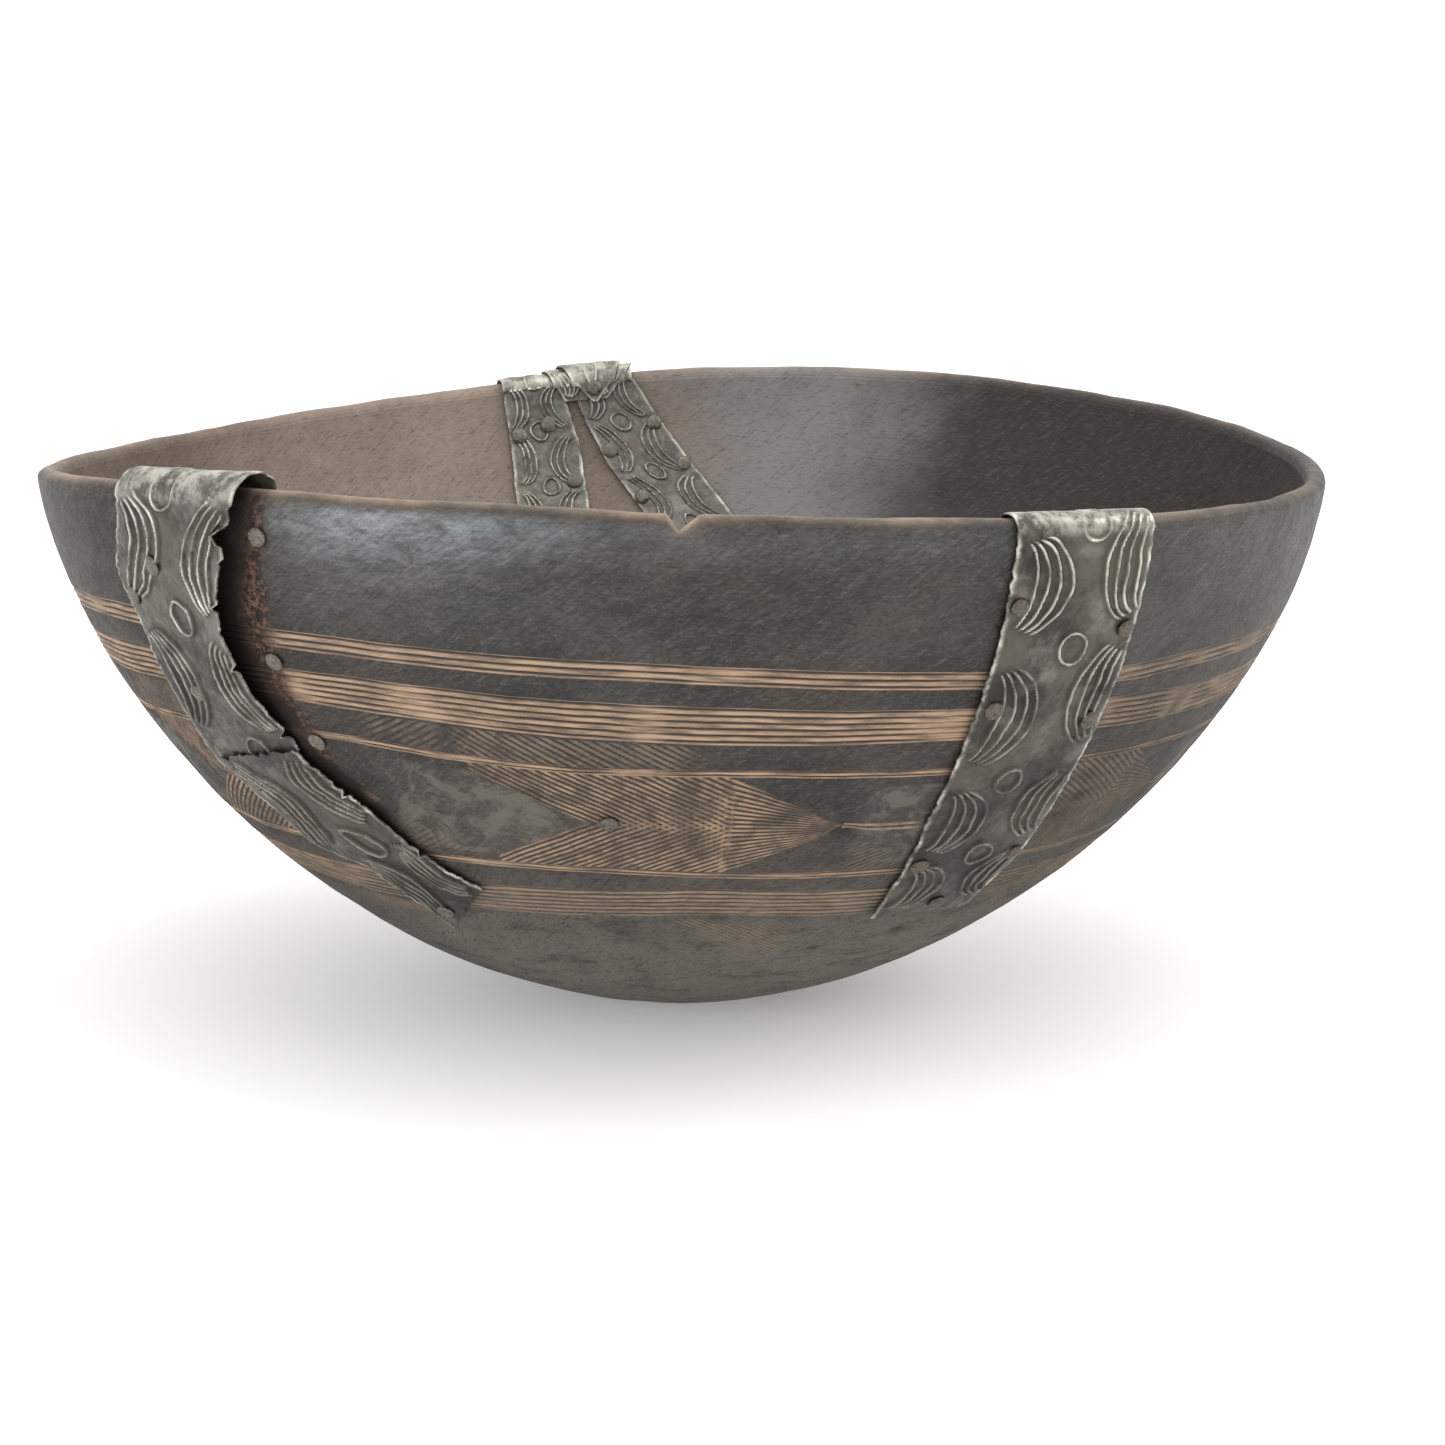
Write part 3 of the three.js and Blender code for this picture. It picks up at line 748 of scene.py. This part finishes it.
def makeNail(name, along, turn, seat):
    # a round bar, its lower end closed flat and its upper end spread into a hammered head
    deselectAll()
    bottom = -nails["depth"] * mm
    bpy.ops.mesh.primitive_cylinder_add(
        vertices=nails["sides"], radius=nails["shankRadius"] * mm, depth=(seat + nails["depth"]) * mm,
        location=(0, 0, (seat - nails["depth"]) / 2 * mm),
    )
    piece = bpy.context.object
    piece.name = name.replace("nail_", "ironNail_")
    piece.data.name = piece.name
    bpy.ops.object.transform_apply(location=True, rotation=False, scale=False)
    bpy.ops.object.mode_set(mode="EDIT")
    bpy.ops.mesh.select_mode(type="FACE")
    pick(piece, "polygons", lambda face: face.normal.z > 0.9)
    spread = nails["headRadius"] / nails["shankRadius"]
    centre = (0, 0, seat * mm)
    bpy.ops.mesh.extrude_region_move(TRANSFORM_OT_translate={"value": (0, 0, 0)})
    bpy.ops.transform.resize(value=(spread, spread, 1), center_override=centre)
    for share, narrow in nails["headRings"]:
        rise = share * nails["headHeight"] * mm
        bpy.ops.mesh.extrude_region_move(TRANSFORM_OT_translate={"value": (0, 0, rise)})
        bpy.ops.transform.resize(value=(narrow, narrow, 1), center_override=centre)
    bpy.ops.mesh.merge(type="CENTER")
    pick(piece, "polygons", lambda face: face.normal.z < -0.9 and face.center.z < bottom * 0.9)
    bpy.ops.mesh.extrude_region_move(TRANSFORM_OT_translate={"value": (0, 0, 0)})
    bpy.ops.mesh.merge(type="CENTER")
    closeMesh(1e-7)
    seed = sum(ord(c) * (i + 3) for i, c in enumerate(name))
    top = pointsOf(piece.data)
    isHead = top[:, 2] > (seat - 0.01) * mm
    beaten = roughness(top / mm + seed, 1.7, 2) * isHead
    squashed = 1 + 0.1 * math.sin(seed)
    top[:, 0] *= np.where(isHead, squashed, 1)
    top[:, 0] += beaten * 0.2 * mm
    top[:, 1] += np.roll(beaten, 3) * 0.15 * mm
    top[:, 2] += np.where(top[:, 2] > (seat + 0.4) * mm, beaten * 0.22 * mm, 0)
    movePoints(piece.data, top)
    foot = Vector(wallPoint(along, turn, 0) * mm)
    out = (Vector(wallPoint(along, turn, 1) * mm) - foot).normalized()
    spin = Matrix.Rotation(seed % 7, 4, "Z")
    pale = [share for part, share in nails["pale"].items() if part in name]
    setAttributes(piece.data, pale=np.full(len(top), pale[0]))
    piece.data.transform(Matrix.Translation(foot) @ out.to_track_quat("Z", "Y").to_matrix().to_4x4() @ spin)
    piece.data.update()
    makeActive(piece)
    bpy.ops.object.shade_smooth_by_angle(angle=math.radians(48))
    return piece


# finishes

def shades(**colours):
    # red, green and blue from 0 to 255, made linear
    return {
        name: tuple(c / 255 / 12.92 if c / 255 <= 0.04045 else ((c / 255 + 0.055) / 1.055) ** 2.4
                    for c in colour) + (1,)
        for name, colour in colours.items()
    }


class Signal:
    # a node's output, with which sums can be written out

    def __init__(self, bench, socket):
        self.bench = bench
        self.socket = socket

    def __add__(self, other):
        return self.bench.math("ADD", self, other)

    def __sub__(self, other):
        return self.bench.math("SUBTRACT", self, other)

    def __rsub__(self, other):
        return self.bench.math("SUBTRACT", other, self)

    def __mul__(self, other):
        return self.bench.math("MULTIPLY", self, other)

    def __abs__(self):
        return self.bench.math("ABSOLUTE", self)


class NodeBench:
    # adds nodes to one tree and joins them

    def __init__(self, tree):
        self.tree = tree
        self.count = 0

    def add(self, kind, settings=None, **inputs):
        node = self.tree.nodes.new(kind)
        node.location = ((self.count % 12) * 190, -(self.count // 12) * 260)
        self.count += 1
        for key, value in (settings or {}).items():
            setattr(node, key, value)
        self.feed(node, **inputs)
        return node

    def join(self, socket, value):
        if isinstance(value, Signal):
            self.tree.links.new(value.socket, socket)
        else:
            socket.default_value = value

    def feed(self, node, **inputs):
        for key, value in inputs.items():
            self.join(node.inputs[key.replace("_", " ")], value)

    def signal(self, kind, output, settings=None, **inputs):
        return Signal(self, self.add(kind, settings, **inputs).outputs[output])

    def signals(self, node):
        return {socket.name: Signal(self, socket) for socket in node.outputs}

    def math(self, operation, *values, clamp=False):
        node = self.add("ShaderNodeMath", {"operation": operation, "use_clamp": clamp})
        for socket, value in zip(node.inputs, values):
            self.join(socket, value)
        return Signal(self, node.outputs[0])

    def most(self, first, *others):
        for other in others:
            first = self.math("MAXIMUM", first, other)
        return first

    def ramp(self, value, low, high, toLow=0.0, toHigh=1.0):
        return self.signal("ShaderNodeMapRange", 0, {"interpolation_type": "SMOOTHSTEP"}, Value=value,
                           From_Min=low, From_Max=high, To_Min=toLow, To_Max=toHigh)

    def mix(self, factor, first, second):
        node = self.add("ShaderNodeMix", {"data_type": "RGBA"})
        for slot, value in ((0, factor), (6, first), (7, second)):
            self.join(node.inputs[slot], value)
        return Signal(self, node.outputs[2])

    def paint(self, tones, tone, coats):
        # coats of (share, tone) laid one over the other, each tone a name in tones or a signal
        tone = tones.get(tone, tone)
        for share, coat in coats:
            tone = self.mix(share, tone, tones.get(coat, coat))
        return tone

    def attribute(self, name):
        return self.signal("ShaderNodeAttribute", "Fac", {"attribute_name": name})

    def map(self, name):
        return self.signal("ShaderNodeUVMap", 0, {"uv_map": name})

    def objectPlace(self):
        return self.signal("ShaderNodeTexCoord", "Object")

    def noise(self, vector, scale, detail=4.0, rough=0.55, distortion=0.0):
        return self.signal("ShaderNodeTexNoise", 0, Vector=vector, Scale=scale, Detail=detail,
                           Roughness=rough, Distortion=distortion)

    def stretch(self, vector, scale, turn=0.0):
        return self.signal("ShaderNodeMapping", 0, Vector=vector, Scale=scale, Rotation=(0, 0, turn))

    def bump(self, height, strength, distance):
        return self.signal("ShaderNodeBump", 0, Height=height, Strength=strength, Distance=distance)

    def group(self, tree, **inputs):
        return self.signals(self.add("ShaderNodeGroup", {"node_tree": tree}, **inputs))


def newGroup(name, numbers, outputs):
    # a group takes a place and some numbers, and gives values
    tree = bpy.data.node_groups.new(name, "ShaderNodeTree")
    tree.interface.new_socket(name="Vector", in_out="INPUT", socket_type="NodeSocketVector")
    for label, value in numbers.items():
        socket = tree.interface.new_socket(name=label, in_out="INPUT", socket_type="NodeSocketFloat")
        socket.default_value = value
    for label in outputs:
        tree.interface.new_socket(name=label, in_out="OUTPUT", socket_type="NodeSocketFloat")
    bench = NodeBench(tree)
    given = bench.signals(bench.add("NodeGroupInput"))
    return tree, bench, given, bench.add("NodeGroupOutput")


def patchyGrime():
    # large soft patches broken by small ones: dust, polish and old dirt
    tree, bench, given, result = newGroup(
        "patchyGrime", {"Patch": 14.0, "Fleck": 180.0, "Amount": 0.5}, ["Mask", "Flecks"])
    large = bench.noise(given["Vector"], given["Patch"], 5.0, 0.6, 0.4)
    small = bench.noise(given["Vector"], given["Fleck"], 4.0, 0.7)
    edge = 0.72 - given["Amount"] * 0.42
    mask = bench.ramp(large * 0.72 + small * 0.28, edge - 0.1, edge + 0.1)
    bench.feed(result, Mask=mask, Flecks=bench.ramp(small, 0.35, 0.68))
    return tree


def scrapeMarks():
    # fine lines left by a blade, in two slants, and pores in the wood
    tree, bench, given, result = newGroup("scrapeMarks", {"Slant": 0.6}, ["Marks", "Pores"])
    slanted = bench.signal("ShaderNodeVectorRotate", 0, {"rotation_type": "Z_AXIS"},
                           Vector=given["Vector"], Angle=given["Slant"])
    long = bench.noise(bench.stretch(slanted, (13, 120, 1)), 1.0, 6.0, 0.7, 0.9)
    short = bench.noise(bench.stretch(given["Vector"], (30, 150, 1), 0.15), 1.0, 5.0, 0.68, 0.6)
    pores = bench.noise(bench.stretch(given["Vector"], (34, 90, 1), -0.12), 1.0, 3.0, 0.6, 0.5)
    bench.feed(result, Marks=long * 0.55 + short * 0.45, Pores=bench.ramp(pores, 0.62, 0.7))
    return tree


def friezeHatch():
    # U counts the crossings round the bowl, V is the distance under the rim in decimetres
    tree, bench, given, result = newGroup("friezeHatch", {"Wobble": 0.5}, ["Tan", "Line", "Dark"])
    split = bench.signals(bench.add("ShaderNodeSeparateXYZ", Vector=given["Vector"]))
    turn, fall = split["X"], split["Y"]
    shaky = (given["Wobble"] - 0.5) * 0.07
    cell = bench.math("FLOOR", turn)
    x = turn - cell - 0.5
    y = bench.math("DIVIDE", 1.021 - fall, 0.2)
    odd = bench.math("LESS_THAN", bench.math("MODULO", cell, 2.0), 0.5)  # these cells hold a dark lozenge
    even = 1.0 - odd
    within = bench.math("LESS_THAN", abs(y), 1.0)
    down, up = x * 2.0 + y, x * 2.0 - y
    shape = abs(x) * 2.0 + abs(y)

    def less(value, limit, soft=0.03):
        return bench.ramp(value, limit + soft, limit - soft)

    def more(value, limit, soft=0.03):
        return bench.ramp(value, limit - soft, limit + soft)

    def lines(coordinate, full=0.62):
        wave = bench.math("COSINE", coordinate * (20 * math.pi))
        return bench.ramp(wave * -0.5 + 0.5, 0.15, full)

    fanReach = bench.math("DIVIDE", 0.6, bench.most(0.6 - x, 0.05))
    downLines, upLines, fanLines = lines(down + shaky), lines(up + shaky), lines(y * fanReach + shaky)
    rightHalf, leftHalf = more(x, -0.02, 0.01), less(x, 0.02, 0.01)
    pale = even * within * less(down, 1.0) * less(up, 1.0)
    arms = odd * within * rightHalf * more(shape, 0.84)
    downMask = bench.most(pale * leftHalf * more(down, -1.0) * more(y, -0.09, 0.09), arms * more(y, 0.0))
    upMask = bench.most(pale * leftHalf * more(up, -1.0) * less(y, 0.09, 0.09), arms * less(y, 0.0))
    fanMask = pale * rightHalf

    # fainter cuts: left of each dark lozenge, over the frieze, and under the lowest band
    faintMask = odd * within * leftHalf * more(x, -0.42, 0.08) * less(y, 0.0, 0.2) * more(shape, 1.1, 0.1)
    faintMask = faintMask * 0.25
    gapRow = more(fall, 0.712, 0.006) * less(fall, 0.795, 0.006)
    below = fall - 1.46
    lean = x - below * 1.5
    underMask = more(below, 0.015, 0.015) * less(below, 0.22, 0.2)
    underMask = underMask * more(lean, -0.25, 0.12) * less(lean, 0.25, 0.2)
    crossed = even * leftHalf * less(shape, 0.8, 0.12) * 0.4
    cuts = [
        (downMask, downLines), (upMask, upLines), (fanMask, fanLines), (faintMask, upLines),
        (gapRow * odd * more(down, 0.35, 0.2) * more(x, -0.05) * 0.5, downLines),
        (gapRow * even * less(x, -0.15, 0.12) * less(turn, 4.0) * 0.5, downLines),
        (gapRow * odd * more(x, -0.4, 0.1) * less(x, -0.12, 0.06) * less(turn, 3.0) * 0.45, upLines),
        (underMask * even * 0.5, downLines),
        (crossed * more(y, 0.0, 0.1), upLines), (crossed * less(y, 0.0, 0.1), downLines),
        (odd * less(x, -0.16) * less(abs(y), 0.1) * more(turn, 3.0), lines(y, 0.6)),
    ]
    tan = bench.most(*[mask * cut for mask, cut in cuts])
    rightShape = bench.most(x, 0.0) * 2.0 + abs(y)
    dark = odd * within * less(rightShape, 0.84) * more(x, -0.43, 0.07)
    bench.feed(result, Tan=tan, Line=bench.most(downMask, upMask, fanMask, faintMask), Dark=dark)
    return tree


def newMaterial(name):
    material = bpy.data.materials.new(name)
    material.use_nodes = True
    tree = material.node_tree
    tree.nodes.clear()
    bench = NodeBench(tree)
    skin = bench.add("ShaderNodeBsdfPrincipled")
    output = bench.add("ShaderNodeOutputMaterial")
    tree.links.new(skin.outputs[0], output.inputs[0])
    return material, bench, skin


woodTones = shades(
    patina=(36, 35, 35), brown=(56, 47, 40), ash=(98, 93, 86), footAsh=(108, 103, 93), soot=(20, 17, 16),
    # the sheen tone is the colour of a painted reflection
    bloom=(140, 144, 147), freshCut=(176, 147, 120), grooveDirt=(46, 37, 31), rimWorn=(164, 141, 119),
    insideWarm=(136, 121, 109), insideGrey=(134, 131, 130), insideDark=(32, 27, 24),
    # the rust tone is rust stain darkened to near-black, a painted shadow beside the torn strap
    insidePale=(166, 150, 138), rust=(29, 19, 15), rustSpecks=(104, 76, 60),
)
tinTones = shades(
    dull=(86, 81, 73), dark=(40, 36, 31), bright=(222, 219, 206), pale=(142, 138, 130),
    verdigris=(118, 130, 122),
)
ironTones = shades(dark=(56, 49, 43), rub=(140, 132, 122), rust=(76, 60, 50), bare=(132, 127, 118))


def carvedWood(grime, scrapes, hatch):
    material, bench, skin = newMaterial("carvedWood")
    place, surface = bench.objectPlace(), bench.map("surface")
    wobble = bench.noise(place, 60.0, 3.0)
    patches = bench.group(grime, Vector=place, Patch=16.0, Fleck=260.0, Amount=0.5)
    dust = bench.group(grime, Vector=place, Patch=34.0, Fleck=520.0, Amount=0.34)
    marks = bench.group(scrapes, Vector=surface, Slant=0.7)
    frieze = bench.group(hatch, Vector=bench.map("frieze"), Wobble=wobble)
    left, depth, inside = [bench.attribute(name) for name in ("left", "depth", "inside")]
    scratch = bench.ramp(marks["Marks"], 0.5, 0.63)
    dark = bench.ramp(marks["Marks"], 0.49, 0.37, 0.0, 0.95)
    sidewise = abs(left - 0.47)

    # the old dark skin, browner to the sides and paler towards the foot
    blotch = bench.noise(bench.stretch(surface, (3.2, 9, 1), 0.2), 1.0, 6.0, 0.68, 0.8)
    nicks = bench.noise(bench.stretch(surface, (16, 30, 1), 0.6), 1.0, 5.0, 0.75, 1.2)
    # painted sheen: a cool reflection painted lighter under the rim
    cloud = bench.noise(bench.stretch(surface, (8, 20, 1), 0.5), 1.0, 7.0, 0.72, 0.4)
    cloud = bench.attribute("bloom") * bench.ramp(cloud, 0.34, 0.62, 0.3, 1.0)
    grit = bench.noise(place, 900.0, 4.0, 0.7)
    tone = bench.paint(woodTones, "patina", [
        (patches["Mask"], "brown"),
        (bench.ramp(sidewise, 0.14, 0.5, 0.0, 0.8), "brown"),
        (bench.ramp(depth, 0.36, 0.78, 0.0, 0.95), "footAsh"),
        (bench.ramp(sidewise, 0.24, 0.46, 0.0, 0.34), "soot"),
        (scratch * 0.5, "ash"),
        (dark, "soot"),
        (bench.ramp(blotch, 0.47, 0.66, 0.0, 0.5), "soot"),
        (marks["Pores"] * 0.75, "soot"),
        (bench.ramp(nicks, 0.66, 0.72, 0.0, 0.8), "soot"),
        (dust["Mask"] * 0.2, "ash"),
        (cloud * bench.ramp(marks["Marks"], 0.4, 0.6, 0.55, 1.0), "bloom"),
        (bench.ramp(grit, 0.5, 0.75, 0.0, 0.3), "ash"),
        (bench.ramp(grit, 0.48, 0.3, 0.0, 0.5), "soot"),
        (bench.attribute("pit") * 0.9, "soot"),
    ])

    # grooves: pale in the cut, dark in its bottom, worn away in places
    wear = bench.ramp(bench.noise(bench.stretch(surface, (7, 55, 1)), 1.0, 5.0, 0.65), 0.34, 0.62, 0.3, 0.95)
    crest = bench.ramp(bench.attribute("groove"), 0.85, 0.35)
    bandShare = bench.ramp(bench.attribute("banded"), 0.2, 0.7) * wear
    bandShare = bandShare * bench.ramp(left, 0.12, 0.27, 0.45, 1.0) * bench.ramp(depth, 0.42, 0.62, 1.0, 0.36)
    chipped = bench.ramp(bench.noise(place, 75.0, 7.0, 0.78, 0.8), 0.44, 0.6, 0.08, 0.62)
    hatchWear = bench.ramp(bench.noise(place, 48.0, 5.0, 0.7), 0.34, 0.6, 0.3, 1.0)
    hatchWear = hatchWear * bench.ramp(bench.noise(place, 210.0, 3.0, 0.6), 0.38, 0.56, 0.45, 1.0)
    hatchShare = frieze["Tan"] * hatchWear * bench.ramp(left, 0.15, 0.32, 0.35, 1.0)
    tone = bench.paint(woodTones, tone, [
        (bandShare, bench.mix(crest, woodTones["grooveDirt"], woodTones["freshCut"])),
        (frieze["Dark"] * chipped, "footAsh"),
        (hatchShare, bench.mix(0.3, woodTones["freshCut"], woodTones["brown"])),
        (bench.math("SUBTRACT", frieze["Line"], frieze["Tan"], clamp=True) * 0.5, "grooveDirt"),
    ])

    # bare worn wood inside, darker to the right
    drift = bench.noise(place, 11.0, 5.0, 0.6, 0.5) - 0.5
    insideTone = bench.paint(woodTones, "insideGrey", [
        (bench.ramp(left + drift * 0.4, 0.41, 0.65), "insideWarm"),
        (bench.ramp(left, 0.6, 0.72) * bench.ramp(left, 0.94, 0.84, 0.0, 0.6), "insidePale"),
        (bench.ramp(left, 0.86, 0.97, 0.0, 0.4), "brown"),
        (patches["Mask"] * 0.3, "brown"),
        (bench.ramp(left + drift * 0.35, 0.42, 0.2, 0.0, 0.9), "insideDark"),
        (scratch * 0.16, "freshCut"),
        (dark * 0.5, "insideDark"),
        (marks["Pores"] * 0.18, "insideDark"),
    ])
    rimPatches = bench.ramp(bench.noise(place, 26.0, 6.0, 0.7), 0.4, 0.6, 0.25, 1.0)
    rimShare = bench.attribute("rimWear") * rimPatches * bench.ramp(left, 0.08, 0.27, 0.35, 1.0)
    # the band by the torn strap: rust stain plus a painted shadow, solid near-black next to the edge
    specks = bench.ramp(dust["Flecks"], 0.25, 0.9) * bench.attribute("rustEdge")
    rust = bench.attribute("rust")
    tone = bench.paint(woodTones, tone, [
        (inside, insideTone),
        (rimShare, "rimWorn"),
        (rust * 0.94, bench.mix(specks, woodTones["rust"], woodTones["rustSpecks"])),
    ])
    rough = bench.ramp(depth, 0.05, 0.5, 0.42, 0.66) + patches["Flecks"] * 0.1 + hatchShare * 0.15
    height = marks["Marks"] * 0.8 - marks["Pores"] * 0.35 - frieze["Tan"] * 0.9
    height = height + bench.noise(place, 420.0, 3.0) * 0.3
    bench.feed(
        skin, Base_Color=tone, Roughness=bench.most(rough, rust * 0.85, inside * 0.56),
        Specular_IOR_Level=bench.ramp(sidewise, 0.24, 0.48, 0.36, 0.16),
        Normal=bench.bump(height, 0.6, 0.0006),
    )
    return material


def oldTin(grime):
    material, bench, skin = newMaterial("oldTin")
    place = bench.objectPlace()
    patches = bench.group(grime, Vector=place, Patch=46.0, Fleck=420.0, Amount=0.5)
    spots = bench.group(grime, Vector=place, Patch=120.0, Fleck=900.0, Amount=0.3)
    pale, low = bench.attribute("pale"), bench.attribute("low")
    paleSpots = bench.ramp(bench.noise(place, 95.0, 4.0, 0.65), 0.5, 0.7, 0.0, 0.35)
    worn = bench.ramp(bench.noise(bench.map("strapLength"), 9.0, 4.0, 0.6), 0.34, 0.58, 0.25, 1.0)
    # stamped ridges painted bright: rubbed tin, and a painted highlight where the relief catches light
    rubbed = bench.ramp(bench.attribute("ridge"), 0.45, 0.95, 0.0, 0.9) * worn
    rubbed = rubbed * bench.ramp(low, 0.05, 0.6, 0.95, 0.3)
    edgeSpots = bench.ramp(bench.noise(place, 150.0, 5.0, 0.7), 0.38, 0.62, 0.1, 1.0)
    tone = bench.paint(tinTones, "dull", [
        (patches["Mask"], "dark"),
        (pale * bench.ramp(patches["Flecks"], 0.0, 1.0, 0.35, 0.8), "pale"),
        (spots["Mask"] * 0.6 * pale, "verdigris"),
        (paleSpots, "pale"),
        (bench.ramp(low, 0.35, 0.9, 0.0, 0.25), "dark"),
        # beside the stamped lines: dirt plus painted shade on the ridges' sides
        (bench.attribute("recess") * 0.7, "dark"),
        # bright: rubbed edges, and the fold over the rim, partly wear and partly a painted highlight
        (bench.most(rubbed, bench.attribute("edge") * edgeSpots), "bright"),
    ])
    rough = bench.ramp(patches["Mask"], 0.0, 1.0, 0.32, 0.5) + spots["Flecks"] * 0.12
    height = bench.noise(place, 160.0, 4.0, 0.6) + bench.noise(place, 700.0, 2.0) * 0.3
    bench.feed(
        skin, Base_Color=tone, Metallic=bench.ramp(patches["Mask"], 0.0, 1.0, 0.8, 0.5), Roughness=rough,
        Normal=bench.bump(height, 0.7, 0.0005),
    )
    return material


def oldIron(grime):
    material, bench, skin = newMaterial("oldIron")
    place = bench.objectPlace()
    patches = bench.group(grime, Vector=place, Patch=240.0, Fleck=1200.0, Amount=0.5)
    tone = bench.paint(ironTones, "dark", [
        (patches["Mask"], "rust"),
        (patches["Flecks"] * 0.4, "rub"),
        (bench.attribute("pale") * bench.ramp(patches["Flecks"], 0.0, 1.0, 0.5, 1.0), "bare"),
    ])
    bench.feed(
        skin, Base_Color=tone, Metallic=bench.ramp(patches["Mask"], 0.0, 1.0, 0.7, 0.2),
        Roughness=bench.ramp(patches["Mask"], 0.0, 1.0, 0.42, 0.75),
        Normal=bench.bump(bench.noise(place, 900.0, 4.0, 0.6), 0.6, 0.0003),
    )
    return material


def floorPaint():
    material, bench, skin = newMaterial("paleFloor")
    soft = bench.noise(bench.objectPlace(), 3.0, 2.0)
    bench.feed(
        skin, Base_Color=bench.mix(soft, (0.93, 0.93, 0.925, 1), (0.945, 0.945, 0.945, 1)), Roughness=0.9,
        Specular_IOR_Level=0.1, Emission_Color=(1, 1, 1, 1), Emission_Strength=studio["floorGlow"],
    )
    return material


# putting it together

grimeGroup, scrapeGroup, hatchGroup = patchyGrime(), scrapeMarks(), friezeHatch()
wood = carvedWood(grimeGroup, scrapeGroup, hatchGroup)
tin, iron = oldTin(grimeGroup), oldIron(grimeGroup)
print("finishes mixed")

carvedBowl = makeBowl()
carvedBowl.data.materials.append(wood)
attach(carvedBowl, "root")
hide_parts("bowl")

for strapName in straps:
    strapPiece = makeStrap(strapName)
    strapPiece.data.materials.append(tin)
    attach(strapPiece, "root")
    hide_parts(strapName)
print("straps stamped")

for nailName, seatPlace in nailSeats().items():
    nailPiece = makeNail(nailName, *seatPlace)
    nailPiece.data.materials.append(iron)
    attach(nailPiece, "root")
    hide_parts(nailName)
print("nails driven")

# a pale floor that sweeps up behind, and soft light
studio = {
    "floorSize": 8.0,
    "floorSweep": [(0, 0.8, 0.15), (0, 0.5, 0.5), (0, 0.2, 3.5)],
    "floorGlow": 0.22,
    "world": 1.02,
    "top": 8,
    "right": 8,
    "left": 5,
}
deselectAll()
bpy.ops.mesh.primitive_plane_add(size=studio["floorSize"], location=(0, 0, 0))
floor = bpy.context.object
floor.name = "floor"
bpy.ops.object.mode_set(mode="EDIT")
bpy.ops.mesh.select_mode(type="EDGE")
pick(floor, "edges", lambda edge: min(floor.data.vertices[i].co.y for i in edge.vertices) > 1)
for sweepStep in studio["floorSweep"]:
    bpy.ops.mesh.extrude_region_move(TRANSFORM_OT_translate={"value": sweepStep})
bpy.ops.object.mode_set(mode="OBJECT")
bpy.ops.object.shade_smooth()
floor.data.materials.append(floorPaint())


def softLight(name, place, size, power, colour):
    deselectAll()
    bpy.ops.object.light_add(type="AREA", location=place)
    lamp = bpy.context.object
    lamp.name = name
    lamp.data.shape = "RECTANGLE"
    lamp.data.size, lamp.data.size_y = size
    lamp.data.energy = power
    lamp.data.color = colour
    aim = Vector((0.0, 0.0, 0.1)) - Vector(place)
    lamp.rotation_euler = aim.to_track_quat("-Z", "Y").to_euler()


softLight("topLight", (0.1, -0.3, 1.7), (1.8, 1.4), studio["top"], (1.0, 0.985, 0.97))
softLight("rightLight", (1.5, 0.3, 1.0), (0.9, 0.9), studio["right"], (1.0, 0.96, 0.92))
softLight("leftWindow", (-1.1, -1.2, 0.35), (0.6, 0.5), studio["left"], (0.86, 0.93, 1.0))

world = bpy.data.worlds.new("studioAir")
bpy.context.scene.world = world
world.use_nodes = True
air = world.node_tree.nodes["Background"]
air.inputs["Color"].default_value = (1.0, 1.0, 1.0, 1)
air.inputs["Strength"].default_value = studio["world"]
bpy.context.scene.view_settings.view_transform = "Standard"
print("studio lit")
